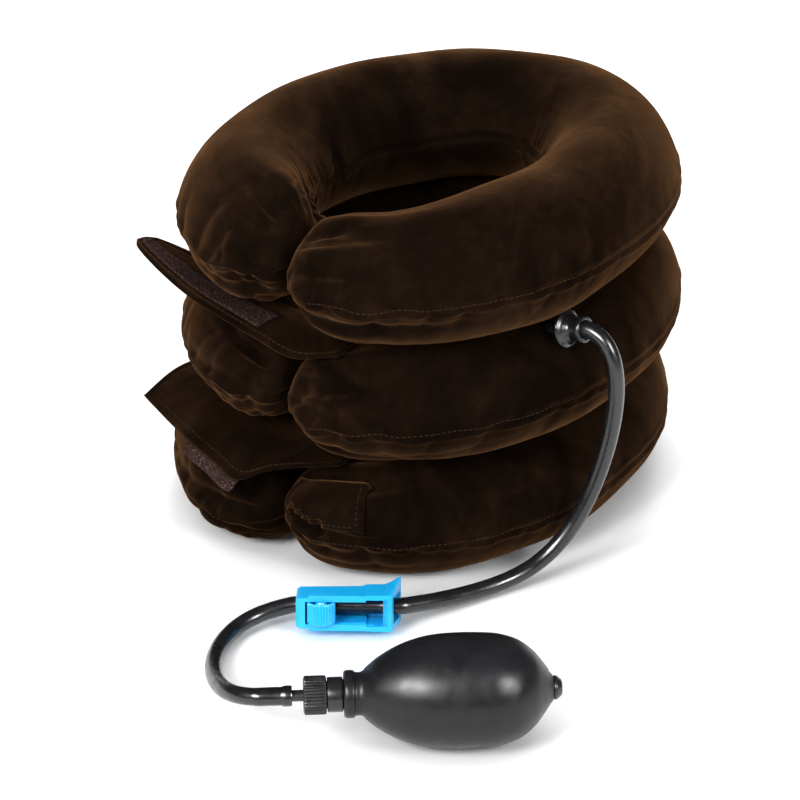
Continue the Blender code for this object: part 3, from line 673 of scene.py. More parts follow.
def inflate(item, rest, pinned, limit):
    """Cloth under pressure, held at the seam; no point may move further than limit."""
    item.vertex_groups.new(name="seam").add([int(index) for index in pinned], 1.0, "ADD")
    cloth = item.modifiers.new("inflate", "CLOTH")
    settings = cloth.settings
    settings.quality = 5
    settings.mass = 0.25
    settings.tension_stiffness = 18.0
    settings.compression_stiffness = 9.0
    settings.shear_stiffness = 6.0
    settings.bending_stiffness = 0.35
    settings.use_pressure = True
    settings.uniform_pressure_force = 4.0
    settings.effector_weights.gravity = 0.0
    settings.vertex_group_mass = "seam"
    cloth.collision_settings.use_self_collision = False
    cloth.point_cache.frame_start = 1
    cloth.point_cache.frame_end = CLOTH_FRAMES
    scene = bpy.context.scene
    for step in range(1, CLOTH_FRAMES + 1):
        scene.frame_set(step)
    evaluated = item.evaluated_get(bpy.context.evaluated_depsgraph_get())
    result = np.zeros(len(evaluated.data.vertices) * 3)
    evaluated.data.vertices.foreach_get("co", result)
    move = result.reshape(-1, 3) - rest
    length = np.linalg.norm(move, axis=1, keepdims=True)
    move *= np.minimum(1.0, limit / np.maximum(length, 1e-9))
    item.modifiers.clear()
    item.vertex_groups.clear()
    scene.frame_set(1)
    return rest + move


def grid_mesh(name, grid, material):
    """Closed mesh from the grid; the first and last stations are single points."""
    stations, ring = grid.shape[:2]
    body = grid[1:-1].reshape(-1, 3)
    vertices = np.concatenate([grid[0, :1], body, grid[-1, :1]])
    faces = []
    last = len(vertices) - 1
    final_row = 1 + (stations - 3) * ring
    for index in range(ring):
        after = (index + 1) % ring
        faces.append((0, 1 + after, 1 + index))
        faces.append((last, final_row + index, final_row + after))
    faces += grid_faces(stations - 2, ring, 1)
    return make_object(name, vertices, faces, material), vertices


def refine_grid(grid):
    """Twice the stations and section points, through smooth curves."""
    around = np.concatenate([grid[:, -1:], grid, grid[:, :2]], axis=1)
    middle = (9.0 * (around[:, 1:-2] + around[:, 2:-1]) - around[:, :-3] - around[:, 3:]) / 16.0
    wide = np.empty((grid.shape[0], grid.shape[1] * 2, 3))
    wide[:, 0::2] = grid
    wide[:, 1::2] = middle
    along = np.concatenate([2 * wide[:1] - wide[1:2], wide, 2 * wide[-1:] - wide[-2:-1]])
    between = (9.0 * (along[1:-2] + along[2:-1]) - along[:-3] - along[3:]) / 16.0
    fine = np.empty((grid.shape[0] * 2 - 1, wide.shape[1], 3))
    fine[0::2] = wide
    fine[1::2] = between
    return fine


def seam_line(grid):
    """Narrow welded seam: a groove between two low lips, on both seams."""
    _, near, girth = seam_distances(grid)
    groove = SEAM_GROOVE * bell(near, 0.0, SEAM_SOFTNESS)
    lip = SEAM_LIP * bell(near, SEAM_LIP_PLACE, SEAM_SOFTNESS)
    size = smoothstep(4.0 * MM, 40.0 * MM, girth)
    return grid + grid_normals(grid) * ((lip - groove) * size)[..., None]


def hold_between(grid, tier):
    """Flatten against the floor or the neighbouring cushions."""
    low = tier * TIER_PITCH + CONTACT_GAP / 2.0 if tier else 0.2 * MM
    high = (tier + 1) * TIER_PITCH - CONTACT_GAP / 2.0 if tier < 2 else STACK_HEIGHT + 3.0 * MM
    held = grid.copy()
    held[..., 2] = np.clip(held[..., 2], low, high)
    return held


def stitch_run(name, path, normals, tier, joint, gauge=SEAM_STITCH):
    """Row of raised stitches along a path; each is a small rounded lozenge."""
    pitch, length, radius = gauge
    places = run_lengths(path)
    vertices = []
    faces = []
    middle = pitch
    while middle < places[-1] - pitch:
        start, end, centre = sample((middle - length / 2.0, middle + length / 2.0, middle), places, path)
        up = sample(middle, places, normals)
        up /= np.linalg.norm(up)
        across = np.cross(end - start, up)
        across /= np.linalg.norm(across)
        faces += stack_faces(len(STITCH_RINGS), STITCH_SIDES, len(vertices))
        for along, size in STITCH_RINGS:
            for side in range(STITCH_SIDES):
                angle = 2.0 * math.pi * side / STITCH_SIDES
                spread = across * math.cos(angle) + up * math.sin(angle)
                vertices.append(centre + (end - start) * along + spread * radius * size)
        middle += pitch
    drape(make_object(name, vertices, faces, THREAD), tier, joint, "brown_velour")


def midway(values, closing=None):
    """The values with the middle of each pair added, and of the pair that closes a ring."""
    following = values[1:] if closing is None else np.append(values[1:], values[0] + closing)
    middle = (values[:len(following)] + following) / 2.0
    both = np.empty(len(values) + len(middle))
    both[0::2] = values
    both[1::2] = middle
    return both


def build_cushion(tier):
    level = TIERS[tier]
    distances = station_distances()
    angles = section_angles()
    grid, spots = cushion_grid(tier, distances, angles)
    grid = sag_left_arm(folded(grid, tier, spots, COARSE_FOLD_SHARE, True), tier, spots["distance"])
    name = f"{level}_cushion"
    draft, rest = grid_mesh(name + "_draft", grid, VELOUR)
    ring = grid.shape[1]
    rows = np.arange(grid.shape[0] - 2)
    pinned = np.concatenate([1 + rows * ring, 1 + rows * ring + ring // 2, [0, len(rest) - 1]])
    moved = inflate(draft, rest, pinned, SWELL_LIMIT)
    grid[1:-1] = moved[1:-1].reshape(grid[1:-1].shape)
    bpy.data.objects.remove(draft)
    fine_spots = cushion_grid(tier, midway(distances), midway(angles, 2.0 * math.pi))[1]
    grid = folded(refine_grid(grid), tier, fine_spots, 1.0 - COARSE_FOLD_SHARE, False)
    grid = seam_line(hold_between(grid, tier))
    grid = settle(lean(grid, tier))
    cushion, _ = grid_mesh(name, grid, VELOUR)
    drape(cushion, tier, TIER_JOINTS[tier], "brown_velour",
          f"{level}_tier_lower_sheet", f"{level}_tier_upper_sheet")
    normal = grid_normals(grid)[24:-24, 2]
    path = grid[24:-24, 2] + normal * 0.05 * MM
    stitch_run(f"{level}_seam_stitches", path, normal, tier, TIER_JOINTS[tier])
    return grid, fine_spots["distance"][:, 0]


# --- straps ---------------------------------------------------------------------

def strap_surface(stations, along_steps, across_points):
    """Smooth grid through (back, middle, front) stations given in millimetres."""
    rails = []
    for rail in range(3):
        points = np.array([station[rail] for station in stations], float) * MM
        rails.append(catmull_rom(points, along_steps))
    rows = []
    for back, middle, front in zip(*rails):
        rows.append(catmull_rom(np.stack([back, middle, front]), (across_points - 1) // 2))
    return np.array(rows) + np.array(COLLAR_AXIS)


def strap_normals(rows):
    along = np.gradient(rows, axis=0)
    across = np.gradient(rows, axis=1)
    normal = np.cross(along, across)
    normal /= np.linalg.norm(normal, axis=2, keepdims=True)
    return np.where(normal[..., 2:] < 0.0, -normal, normal)


def plate_from_rows(name, rows, thickness, material, hem=0.0):
    """Closed plate with rounded edges and, if asked, a raised hem round its border."""
    normal = strap_normals(rows)
    stations, count = rows.shape[:2]
    along = np.linalg.norm(np.diff(rows, axis=0), axis=2).mean(axis=1)
    across = np.linalg.norm(np.diff(rows, axis=1), axis=2).mean(axis=0)
    run_along = np.concatenate([[0.0], np.cumsum(along)])
    run_across = np.concatenate([[0.0], np.cumsum(across)])
    edge_along = np.minimum(run_along, run_along[-1] - run_along)[:, None]
    edge_across = np.minimum(run_across, run_across[-1] - run_across)[None, :]
    edge = np.minimum(edge_along, edge_across)
    inward = np.clip(edge / EDGE_ROUND, 0.0, 1.0)
    shape = 0.30 + 0.70 * np.sqrt(1.0 - (1.0 - inward) ** 2)
    ridge = bell(edge, HEM_RIDGE_PLACE, HEM_RIDGE_WIDTH)
    groove = bell(edge, HEM_GROOVE_PLACE, HEM_GROOVE_WIDTH)
    half = thickness / 2.0 * shape + hem * (0.5 * ridge - groove)
    top = rows + normal * half[..., None]
    bottom = rows - normal * (thickness / 2.0 * shape)[..., None]
    vertices = np.concatenate([top.reshape(-1, 3), bottom.reshape(-1, 3)])
    shift = stations * count
    faces = grid_faces(stations, count, close_columns=False)
    faces += [tuple(corner + shift for corner in reversed(face)) for face in faces]
    for station in range(stations - 1):
        for corner in (station * count, station * count + count - 1):
            faces.append((corner, corner + count, corner + count + shift, corner + shift))
    for first in (0, (stations - 1) * count):
        for index in range(first, first + count - 1):
            faces.append((index, index + 1, index + 1 + shift, index + shift))
    return make_object(name, vertices, faces, material), top, normal


def crumple(rows, rng, amount):
    """Soft waves of a strap that has been folded and opened."""
    normal = strap_normals(rows)
    along = np.linspace(0.0, 1.0, rows.shape[0])[:, None]
    across = np.linspace(0.0, 1.0, rows.shape[1])[None, :]
    wave = np.zeros(rows.shape[:2])
    for _ in range(6):
        phase = rng.uniform(4.0, 16.0) * along + rng.uniform(2.0, 8.0) * across
        wave += np.sin(phase + rng.uniform(0, 6.28))
    return rows + normal * (wave * amount / 3.0)[..., None]


# Height, bend and radius along one nylon hook, in millimetres
HOOK_BENDS = ((0.0, 0.0, 0.14), (0.45, 0.05, 0.11), (0.75, 0.28, 0.10), (0.62, 0.50, 0.05))


def scatter_hooks(name, rows, normal, spacing=1.5 * MM):
    """Tiny bent nylon hooks standing on one face of a hook tape."""
    rng = random.Random(7)
    vertices = []
    faces = []
    run = np.linalg.norm(rows[-1, rows.shape[1] // 2] - rows[0, rows.shape[1] // 2])
    width = np.linalg.norm(rows[rows.shape[0] // 2, -1] - rows[rows.shape[0] // 2, 0])
    for along in range(1, int(run / spacing)):
        for across in range(1, int(width / spacing)):
            station = min(int(along * spacing / run * (rows.shape[0] - 1)), rows.shape[0] - 1)
            place = min(int(across * spacing / width * (rows.shape[1] - 1)), rows.shape[1] - 1)
            up = normal[station, place]
            root = rows[station, place] + up * HOOK_TAPE_THICKNESS * 0.45
            lean_to = np.array([rng.uniform(-1, 1), rng.uniform(-1, 1), 0.0])
            first = len(vertices)
            for height, bend, radius in HOOK_BENDS:
                centre = root + up * height * MM + lean_to * bend * MM
                for corner in range(4):
                    angle = math.pi / 2.0 * corner
                    spoke = np.array([math.cos(angle), math.sin(angle), 0.0])
                    vertices.append(centre + spoke * radius * MM)
            faces += stack_faces(4, 4, first)
    return make_object(name, vertices, faces, HOOK)


# Straps: back, middle and front of each station, in millimetres from the collar's axis
TOP_STRAP = (
    ((44, -82, 122.0), (45, -95, 121.8), (46, -107, 119.6)),
    ((28, -87, 122.0), (28, -103, 121.4), (27, -118, 115.6)),
    ((10, -89, 121.8), (8, -105, 121.4), (5, -121, 118.0)),
    ((-16, -89, 121.0), (-18, -106, 121.2), (-20, -123, 121.2)),
    ((-38, -90, 121.0), (-40, -107, 121.6), (-41, -124, 124.6)),
    ((-60, -91, 121.6), (-62, -107, 124.2), (-62, -123, 129.0)),
    ((-78, -99, 126.6), (-80, -109, 128.8), (-79, -120, 132.4)),
    ((-86, -104, 129.2), (-88, -109, 130.4), (-86, -115, 132.6)),
)
MIDDLE_STRAP = (
    ((40, -76, 61.0), (42, -92, 61.0), (44, -104, 60.6)),
    ((18, -86, 61.0), (18, -108, 61.0), (20, -126, 56.6)),
    ((4, -90, 61.0), (4, -114, 60.0), (6, -136, 49.4)),
    ((-12, -90, 61.0), (-14, -112, 60.4), (-14, -134, 50.4)),
    ((-40, -86, 61.0), (-42, -108, 60.6), (-44, -129, 51.0)),
    ((-62, -82, 61.2), (-66, -104, 59.6), (-68, -123, 50.8)),
    ((-76, -79, 61.4), (-80, -100, 58.8), (-82, -119, 50.4)),
)

# Stations and points of a strap's surface that its tape covers
TOP_TAPE_SPAN = (slice(26, 78), slice(15, 28))
MIDDLE_TAPE_SPAN = (slice(24, 45), slice(16, None))
OVERHANG_STEPS = 4


def strap_piece(name, node, stations, tier, seed, hem):
    """Velour strap with a hem and a row of stitches just inside its border."""
    joint = TIER_JOINTS[tier - 1]
    rows = settle(crumple(strap_surface(stations, 12, 33), random.Random(seed), CRUMPLE))
    piece, top, normal = plate_from_rows(name, rows, STRAP_THICKNESS, VELOUR, hem)
    drape(piece, tier, joint, "brown_velour", node)
    for label, index in (("front", -4), ("back", 3)):
        line = (slice(6, -5), index)
        stitch_run(f"{name}_{label}_stitches", top[line], normal[line], tier, joint, STRAP_STITCH)
    return rows


def tape_piece(name, node, rows, tier, side):
    """Hook tape lying on one face of its strap."""
    joint = TIER_JOINTS[tier - 1]
    lift = (STRAP_THICKNESS + HOOK_TAPE_THICKNESS) / 2.0 + 0.35 * MM
    rows = rows + strap_normals(rows) * side * lift
    tape, _, normal = plate_from_rows(name, rows, HOOK_TAPE_THICKNESS, HOOK)
    drape(tape, tier, joint, "hook_tape", node)
    drape(scatter_hooks(name + "_hooks", rows, normal), tier, joint, "hook_tape")


def build_straps():
    """Both straps with their tapes; the middle one's tape sticks out past its front edge."""
    top_rows = strap_piece("closing_strap_top", "top_strap", TOP_STRAP, 2, 3, 0.5 * MM)
    tape_piece("top_strap_hooks", "top_strap_hook_tape", top_rows[TOP_TAPE_SPAN], 2, 1)
    middle_rows = strap_piece("closing_strap_middle", "middle_strap", MIDDLE_STRAP, 1, 5, 0.35 * MM)
    overhang = middle_rows[MIDDLE_TAPE_SPAN]
    outward = overhang[:, -1] - overhang[:, -2]
    extra = [overhang[:, -1] + outward * step for step in range(1, OVERHANG_STEPS + 1)]
    overhang = np.concatenate([overhang, np.stack(extra, axis=1)], axis=1)
    tape_piece("middle_strap_hooks", "middle_strap_hook_tape", overhang, 1, -1)


def smoothed(rows, passes):
    """Rows relaxed towards their neighbours, with the border kept."""
    rows = rows.copy()
    for _ in range(passes):
        inner = (rows[:-2, 1:-1] + rows[2:, 1:-1] + rows[1:-1, :-2] + rows[1:-1, 2:]) / 4.0
        rows[1:-1, 1:-1] = inner
    return rows


# The tab's reach from the arm's tip, its points round the cushion's section, and its lift
TAB_REACH = (5.0 * MM, 36.0 * MM)
TAB_POINTS = slice(12, 29)
TAB_LIFT = 1.7 * MM


def build_tab(cushion, distances):
    """Stitched strap end lying on the bottom cushion's right arm, just above its seam."""
    stations = (distances > TAB_REACH[0]) & (distances < TAB_REACH[1])
    rows = smoothed(cushion[stations, TAB_POINTS], 14)
    rows = rows + strap_normals(rows) * (STRAP_THICKNESS / 2.0 + TAB_LIFT)
    tab, top, normal = plate_from_rows("closing_strap_end", rows, STRAP_THICKNESS, VELOUR, 0.35 * MM)
    drape(tab, 0, TIER_JOINTS[0], "brown_velour", "bottom_strap_tab")
    borders = (("side", top[2:-2, 2], normal[2:-2, 2]), ("end", top[-4, 1:-1], normal[-4, 1:-1]))
    for label, path, up in borders:
        stitch_run(f"closing_strap_end_{label}_stitches", path, up, 0, TIER_JOINTS[0])


# --- hose, port, clamp and bulb -------------------------------------------------

def frame_at(origin, bearing, rise=0.0):
    turn = Matrix.Rotation(bearing, 4, "Z") @ Matrix.Rotation(-rise, 4, "Y")
    return Matrix.Translation(origin) @ turn


port_place = COLLAR_AXIS + Vector((101.2, -16.4, 118.5)) * MM
PORT_FRAME = frame_at(port_place, math.radians(7.0), math.radians(15.0))

# The clamp's frame has its origin and X on the hose's axis, and Y away from the roller
ROLLER_OFFSET = Vector((-11.4, -10.5, 0.0)) * MM
clamp_x = Vector(JOINTS["roller_travel"]["axis"])
clamp_z = Vector(JOINTS["roller_spin"]["axis"])
clamp_y = clamp_z.cross(clamp_x)
clamp_turn = Matrix((clamp_x, clamp_y, clamp_z)).transposed().to_4x4()
roller_place = Vector(JOINTS["roller_spin"]["pos_m"])
CLAMP_FRAME = Matrix.Translation(roller_place - clamp_turn @ ROLLER_OFFSET) @ clamp_turn

cap_joint = JOINTS["release_cap_turn"]
bulb_axis = -Vector(cap_joint["axis"])
BULB_FRAME = frame_at(Vector(cap_joint["pos_m"]), math.atan2(bulb_axis.y, bulb_axis.x))


def arc_profile(profile, radius, steps=3):
    """Round the corners of a closed (along, radius) profile, given in millimetres."""
    points = [Vector(point) for point in profile]
    rounded = []
    for index, corner in enumerate(points):
        before = points[index - 1]
        after = points[(index + 1) % len(points)]
        reach = min(radius, (before - corner).length * 0.45, (after - corner).length * 0.45)
        start = corner + (before - corner).normalized() * reach
        end = corner + (after - corner).normalized() * reach
        for step in range(steps + 1):
            share = step / steps
            rounded.append((1 - share) ** 2 * start + 2 * share * (1 - share) * corner + share ** 2 * end)
    return [(point.x, point.y) for point in rounded]


def turned(name, profile, material, placement, body, slot, node, sides=96, ribs=None, edge=30.0):
    """Piece of revolution about the placement's X axis.

    Ribs are given as (first, last, depth, count, smallest radius), with lengths in millimetres.
    """
    vertices = []
    for side in range(sides):
        angle = 2.0 * math.pi * side / sides
        for along, radius in profile:
            if ribs and ribs[0] <= along <= ribs[1] and radius > ribs[4]:
                wave = 0.5 - 0.5 * math.cos(ribs[3] * angle)
                radius -= ribs[2] * wave ** 0.6
            spot = Vector((along, radius * math.cos(angle), radius * math.sin(angle))) * MM
            vertices.append(placement @ spot)
    piece = make_object(name, vertices, grid_faces(sides, len(profile), close_rows=True), material)
    finish_edges(piece, edge)
    mount(piece, body, slot, node)


def build_port():
    profile = (
        (-16.0, 2.3), (3.0, 2.3), (3.0, 4.1), (11.5, 4.1), (11.5, 6.1), (9.4, 6.3), (9.0, 5.2),
        (5.0, 5.3), (2.2, 7.2), (1.3, 9.0), (0.0, 9.0), (-1.2, 3.4), (-16.0, 3.4),
    )
    turned("inlet_port_cup", arc_profile(profile, 0.8, 4), HOSE_RUBBER, PORT_FRAME, "inlet",
           "black_rubber", "inlet_port")


# Control points of the hose in millimetres: along the port's, the clamp's and the bulb's
# axes, and in the air between them
HOSE_IN_PORT = (3.3, 8.0, 12.0, 15.0)
HOSE_FALLING = (
    (123.5, -13.4, 120.4), (129.5, -12.4, 111.5), (132.0, -12.0, 92.0),
    (130.0, -16.0, 66.0), (127.0, -23.0, 43.0), (121.5, -31.5, 22.0),
    (116.0, -44.5, 9.5), (110.7, -61.2, 4.6), (105.1, -78.7, 4.8),
    (102.6, -96.1, 7.2),
)
HOSE_IN_CLAMP = (28.0, 14.0, 0.0, -14.0, -26.0)
HOSE_LOOPING = (
    (51.5, -162.0, 7.8), (48.5, -178.0, 5.2), (56.5, -196.0, 4.4),
    (72.5, -211.0, 7.5), (94.0, -224.5, 16.5),
)
HOSE_TO_STEM = (-93.0, -84.0, -76.0, -69.3)


def hose_points():
    points = [PORT_FRAME @ Vector((along * MM, 0, 0)) for along in HOSE_IN_PORT]
    points += [COLLAR_AXIS + Vector(point) * MM for point in HOSE_FALLING]
    points += [CLAMP_FRAME @ Vector((along * MM, 0, 0)) for along in HOSE_IN_CLAMP]
    points += [COLLAR_AXIS + Vector(point) * MM for point in HOSE_LOOPING]
    points += [BULB_FRAME @ Vector((along * MM, 0, 0)) for along in HOSE_TO_STEM]
    return np.array(points)


def tube(name, path, outer, bore, sides, material):
    """Tube along a path; outer and bore are radii at each path point."""
    tangents = np.gradient(path, axis=0)
    tangents /= np.linalg.norm(tangents, axis=1)[:, None]
    side_axis = np.cross(tangents[0], (0.0, 0.0, 1.0))
    angles = np.arange(sides)[:, None] * 2.0 * math.pi / sides
    outside = []
    inside = []
    for point, tangent, wide, narrow in zip(path, tangents, outer, bore):
        side_axis = side_axis - tangent * side_axis.dot(tangent)
        side_axis /= np.linalg.norm(side_axis)
        spokes = side_axis * np.cos(angles) + np.cross(tangent, side_axis) * np.sin(angles)
        outside.append(point + spokes * wide)
        inside.append(point + spokes * narrow)
    shift = len(path) * sides
    faces = grid_faces(len(path), sides) + grid_faces(len(path), sides, shift)
    for base in (0, shift - sides):
        for side in range(sides):
            after = (side + 1) % sides
            faces.append((base + side, base + after, base + shift + after, base + shift + side))
    piece = make_object(name, np.concatenate(outside + inside), faces, material)
    finish_edges(piece, 50.0)
    return piece


def relax_hose(path):
    """Even out the bends, leaving the port, clamp and stem ends where they are."""
    local = np.array([CLAMP_FRAME.inverted() @ Vector(point) for point in path])
    in_clamp = (np.abs(local[:, 0]) < 25.0 * MM) & (np.abs(local[:, 1]) < 8.0 * MM)
    order = np.arange(len(path))
    fixed = in_clamp | (order < 22) | (order > len(path) - 20)
    for _ in range(120):
        middle = (path[:-2] + path[2:]) / 2.0
        moved = path[1:-1] * 0.5 + middle * 0.5
        path[1:-1] = np.where(fixed[1:-1, None], path[1:-1], moved)
    return path


def build_hose():
    path = relax_hose(catmull_rom(hose_points(), 9))
    run = run_lengths(path)
    left = run[-1] - run
    bead = (1.0 - smoothstep(3.2 * MM, 4.4 * MM, left)) * (0.4 + 0.6 * smoothstep(0.0, 0.9 * MM, left))
    over_stem = 1.0 - smoothstep(13.0 * MM, 17.0 * MM, left)
    outer = HOSE_RADIUS + 0.2 * MM * over_stem + 0.50 * MM * bead
    bore = 2.3 * MM + 1.0 * MM * over_stem
    hose = tube("air_hose", path, outer, bore, 28, HOSE_RUBBER)
    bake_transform(hose)
    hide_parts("hose")


def clamp_block(name, corners_low, corners_high):
    """Closed box between two corners in the clamp's frame, in millimetres."""
    (x0, y0, z0), (x1, y1, z1) = corners_low, corners_high
    corners = [(x, y, z) for x in (x0, x1) for y, z in ((y0, z0), (y1, z0), (y1, z1), (y0, z1))]
    vertices = [CLAMP_FRAME @ (Vector(corner) * MM) for corner in corners]
    return make_object(name, vertices, stack_faces(2, 4), BLUE_PLASTIC, False)


def combine(target, other, operation):
    modifier = target.modifiers.new("combine", "BOOLEAN")
    modifier.operation = operation
    modifier.solver = "EXACT"
    modifier.object = other
    apply_modifiers(target)
    bpy.data.objects.remove(other)


# Clamp housing in its own frame, in millimetres
CLAMP_START = -22.8
CLAMP_CHAMFER_END = -21.4
CLAMP_STEP = (6.0, 9.2)
CLAMP_FLARE = (16.6, 21.4)
CLAMP_FRONT = -12.3
CLAMP_BACK = 5.4
CLAMP_RIBS = (
    ((-17.0, CLAMP_FRONT, 7.0), (7.4, -8.3, 8.3)),
    ((-17.0, CLAMP_FRONT, -8.3), (7.4, -8.3, -7.0)),
)
CLAMP_POCKETS = (
    ((-18.6, -15.0, -5.3), (9.0, 4.1, 5.3)),
    ((8.8, -15.0, -6.2), (18.6, 4.1, 6.2)),
    ((16.6, -8.7, -6.2), (27.0, 4.1, 6.2)),
    ((-13.3, -11.8, 4.5), (12.5, -9.2, 6.7)),
    ((-13.3, -11.8, -6.7), (12.5, -9.2, -4.5)),
)
CLAMP_BORE_RADIUS = 4.6


def clamp_section(x):
    """Four corners of the housing at x: tapered, chamfered, stepped wider, then flared."""
    step = float(smoothstep(*CLAMP_STEP, x))
    flare = float(smoothstep(*CLAMP_FLARE, x)) ** 1.5
    chamfer = float(1.0 - smoothstep(CLAMP_START, CLAMP_CHAMFER_END, x))
    half_height = 7.1 + 0.5 * (x - CLAMP_START) / 29.3 + 0.8 * step
    half_height = min(half_height, 8.6) - 0.9 * chamfer
    front_x = x - 0.9 * flare
    back_x = x + 3.1 * flare
    front = CLAMP_FRONT + 1.2 * chamfer
    return [
        (front_x, front, -half_height), (back_x, CLAMP_BACK, -half_height),
        (back_x, CLAMP_BACK + 0.8 * flare, half_height + 3.5 * flare), (front_x, front, half_height),
    ]


def clamp_bore():
    """Cutter for the hose's hole in the closed end."""
    bore = bmesh.new()
    place = CLAMP_FRAME @ Matrix.Translation((-21.3 * MM, 0.0, 0.0)) @ Matrix.Rotation(math.pi / 2, 4, "Y")
    bmesh.ops.create_cone(bore, cap_ends=True, segments=48, radius1=CLAMP_BORE_RADIUS * MM,
                          radius2=CLAMP_BORE_RADIUS * MM, depth=9.0 * MM, matrix=place)
    mesh = bpy.data.meshes.new("bore")
    bore.to_mesh(mesh)
    bore.free()
    return add_object("bore", mesh)


def build_clamp_housing():
    """Channel-shaped housing, stepped wider and flared at the end the hose enters."""
    sections = [clamp_section(x) for x in (-22.8, -21.4, 6.2, 7.0, 8.2, 9.2, 17.0, 18.6, 20.2, 21.4)]
    vertices = [CLAMP_FRAME @ (Vector(corner) * MM) for section in sections for corner in section]
    housing = make_object("clamp_channel", vertices, stack_faces(len(sections), 4), BLUE_PLASTIC, False)
    for low, high in CLAMP_RIBS:
        combine(housing, clamp_block("rib", low, high), "UNION")
    for low, high in CLAMP_POCKETS:
        combine(housing, clamp_block("pocket", low, high), "DIFFERENCE")
    combine(housing, clamp_bore(), "DIFFERENCE")
    bevel = housing.modifiers.new("edge", "BEVEL")
    bevel.width = 0.35 * MM
    bevel.segments = 3
    bevel.limit_method = "ANGLE"
    bevel.angle_limit = math.radians(32.0)
    apply_modifiers(housing)
    housing.data.materials.clear()
    housing.data.materials.append(BLUE_PLASTIC)
    mount(housing, "base", "blue_plastic", "clamp_housing")


def build_thumb_wheel():
    """Fluted wheel with a ring-shaped hollow in each end."""
    placement = Matrix.Translation(roller_place) @ clamp_turn @ Matrix.Rotation(-math.pi / 2.0, 4, "Y")
    wheel = ((-5.1, 1.4), (-5.1, 2.4), (-3.2, 2.8), (-3.2, 5.0), (-5.1, 5.3), (-5.1, 5.7), (-4.4, 6.4),
             (4.4, 6.4), (5.1, 5.7), (5.1, 5.3), (3.2, 5.0), (3.2, 2.8), (5.1, 2.4), (5.1, 1.4))
    turned("clamp_thumb_wheel", arc_profile(wheel, 0.25, 2), BLUE_PLASTIC, placement, "roller",
           "blue_plastic", "clamp_roller", 240, (-4.7, 4.7, 0.60, 30, 5.9), 40.0)


# Bulb's skin from neck to tail, as (along, radius) in millimetres
BULB_SKIN = (
    (-32.5, 15.2), (-24.0, 19.9), (-15.6, 22.8), (-7.2, 24.2), (2.0, 24.6), (12.0, 24.3),
    (19.0, 23.5), (26.6, 21.0), (32.9, 16.4), (37.1, 11.4), (39.8, 7.6),
)


def build_bulb():
    neck = ((-47.4, 9.3), (-46.4, 10.1), (-43.4, 10.1), (-42.4, 9.3), (-40.0, 9.3), (-37.6, 11.0))
    inner = (
        (41.4, 3.7), (38.6, 3.7), (36.0, 8.6), (31.4, 14.4), (25.4, 18.9), (18.2, 21.3),
        (2.0, 22.4), (-14.8, 20.7), (-23.0, 17.9), (-31.4, 13.4), (-36.6, 9.2), (-38.4, 6.6),
        (-47.4, 6.6),
    )
    skin = catmull_rom((neck[-1], *BULB_SKIN, (41.4, 5.6)), 5)
    lip = catmull_rom(neck, 4)
    profile = [tuple(point) for point in np.concatenate([lip[:-1], skin])] + list(inner)
    turned("squeeze_bulb", profile, BULB_RUBBER, BULB_FRAME, "base", "black_rubber", "bulb", 128)


def build_mould_line():
    """Fine parting line left by the two halves of the bulb's mould."""
    skin = catmull_rom(((-38.5, 10.4), *BULB_SKIN), 6)
    outer = [0.22 * MM] * len(skin)
    bore = [0.08 * MM] * len(skin)
    for label, angle in (("near", math.radians(-62.0)), ("far", math.radians(118.0))):
        path = []
        for along, radius in skin:
            spot = Vector((along, radius * math.cos(angle), -radius * math.sin(angle))) * MM
            path.append(BULB_FRAME @ spot)
        line = tube(f"bulb_mould_line_{label}", np.array(path), outer, bore, 8, BULB_RUBBER)
        mount(line, "base", "black_rubber")


def build_valve():
    body = (
        (-61.6, 4.4), (-61.6, 5.6), (-54.4, 5.6), (-54.4, 7.5), (-47.8, 7.5), (-47.8, 6.3),
        (-36.0, 6.3), (-36.0, 2.0), (-44.0, 2.0), (-44.0, 4.4),
    )
    turned("valve_barrel", arc_profile(body, 0.5, 3), BLACK_PLASTIC, BULB_FRAME, "base",
           "black_plastic", "valve_body")
    cap = (
        (-64.6, 2.9), (-64.6, 7.3), (-63.9, 8.3), (-55.4, 8.3), (-54.7, 7.9), (-54.7, 5.9),
        (-63.5, 5.9), (-63.5, 2.9),
    )
    turned("knurled_release_cap", arc_profile(cap, 0.35, 3), BLACK_PLASTIC, BULB_FRAME, "cap",
           "black_plastic", "release_cap", 240, (-64.0, -55.2, 0.42, 40, 7.6), 40.0)
    inlet = (
        (33.0, 2.4), (33.0, 3.4), (41.7, 3.4), (41.7, 5.2), (43.0, 5.2), (45.4, 3.2),
        (45.4, 1.2), (42.6, 1.2), (41.4, 2.4),
    )
    turned("tail_valve_nub", arc_profile(inlet, 0.6, 4), BLACK_PLASTIC, BULB_FRAME, "base",
           "black_plastic", "inlet_valve_body")


def finish_cad_nodes():
    """Better materials for the small pieces whose CAD shape is already right."""
    looks = {
        "lower_air_grommet": VINYL, "upper_air_grommet": VINYL, "clamp_roller_pin": STEEL,
        "hose_stem": BLACK_PLASTIC, "release_washer": HOSE_RUBBER, "outlet_valve_flap": HOSE_RUBBER,
        "inlet_valve_ball": STEEL, "inlet_valve_retainer": BLACK_PLASTIC,
    }
    for node, material in looks.items():
        item = frame["nodes"][node]
        for slot in item.material_slots:
            slot.link = "OBJECT"
            slot.material = material


# --- stage ----------------------------------------------------------------------

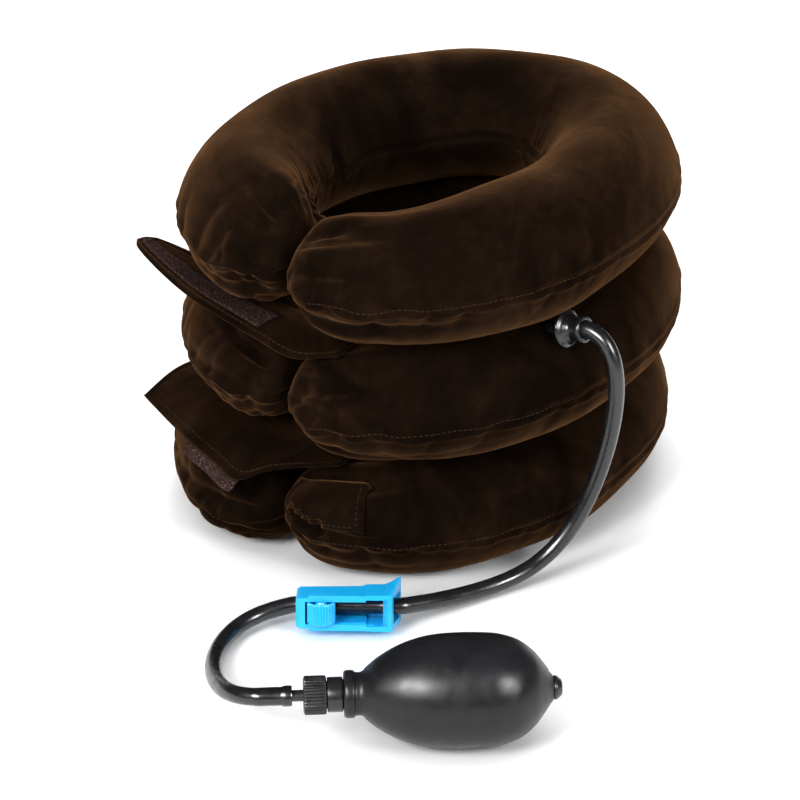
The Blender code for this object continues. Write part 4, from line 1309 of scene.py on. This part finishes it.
def build_stage():
    floor_material = NodeMaterial("studio_floor")
    tones = ((0.3, (0.90, 0.90, 0.90)), (0.7, (0.93, 0.93, 0.93)))
    floor_material.feed("Base Color", floor_material.ramp(floor_material.noise(3.0), tones))
    floor_material.set(Roughness=0.9, Specular_IOR_Level=0.1)
    size = 4.0
    corners = [(-size, -size, 0.0), (size, -size, 0.0), (size, size, 0.0), (-size, size, 0.0)]
    make_object("studio_floor", corners, [(0, 1, 2, 3)], floor_material.material, False)
    world = bpy.data.worlds.new("studio")
    world.use_nodes = True
    fill(world.node_tree.nodes["Background"], Color=(1.0, 1.0, 1.0, 1.0), Strength=0.42)
    world.cycles_visibility.glossy = False
    bpy.context.scene.world = world
    bpy.context.scene.view_settings.view_transform = "Standard"


def add_light(name, place, target, size, power, glossy=True, diffuse=True):
    data = bpy.data.lights.new(name, "AREA")
    data.shape = "RECTANGLE"
    data.size, data.size_y = size
    data.energy = power
    item = add_object(name, data)
    item.location = place
    item.rotation_euler = (Vector(target) - Vector(place)).to_track_quat("-Z", "Y").to_euler()
    item.visible_glossy = glossy
    item.visible_diffuse = diffuse


def add_sun(name, direction, strength, spread):
    data = bpy.data.lights.new(name, "SUN")
    data.energy = strength
    data.angle = math.radians(spread)
    item = add_object(name, data)
    item.rotation_euler = Vector(direction).to_track_quat("Z", "Y").to_euler()
    item.visible_glossy = False


def build_lights():
    target = (0.05, -0.04, 0.06)
    add_light("left_window", (0.15, -1.25, 0.95), target, (0.45, 0.55), 17.0)
    add_light("right_window", (1.30, -0.05, 0.85), target, (0.35, 0.55), 9.0)
    add_light("rim", (-0.7, 0.9, 0.9), target, (0.8, 0.5), 12.0, glossy=False)
    add_light("left_card", (0.27, -1.22, 0.97), target, (1.00, 0.50), 42.0, diffuse=False)
    add_light("right_card", (1.32, 0.02, 0.87), target, (0.34, 0.55), 15.0, diffuse=False)
    add_sun("overhead", (-0.15, 0.10, 1.0), 1.75, 70.0)


def build_camera():
    data = bpy.data.cameras.new("camera")
    data.lens = 119.25
    camera = add_object("camera", data)
    place = Vector((0.7697, -0.7652, 0.6802))
    aim = Vector((-0.0455, 0.0264, 0.0463))
    camera.location = place
    camera.rotation_euler = (aim - place).to_track_quat("-Z", "Y").to_euler()
    bpy.context.scene.camera = camera


cushions = [build_cushion(tier_index) for tier_index in range(len(TIERS))]
build_straps()
build_tab(*cushions[0])
build_port()
build_hose()
build_clamp_housing()
build_thumb_wheel()
build_bulb()
build_mould_line()
build_valve()
finish_cad_nodes()
build_stage()
build_lights()
build_camera()
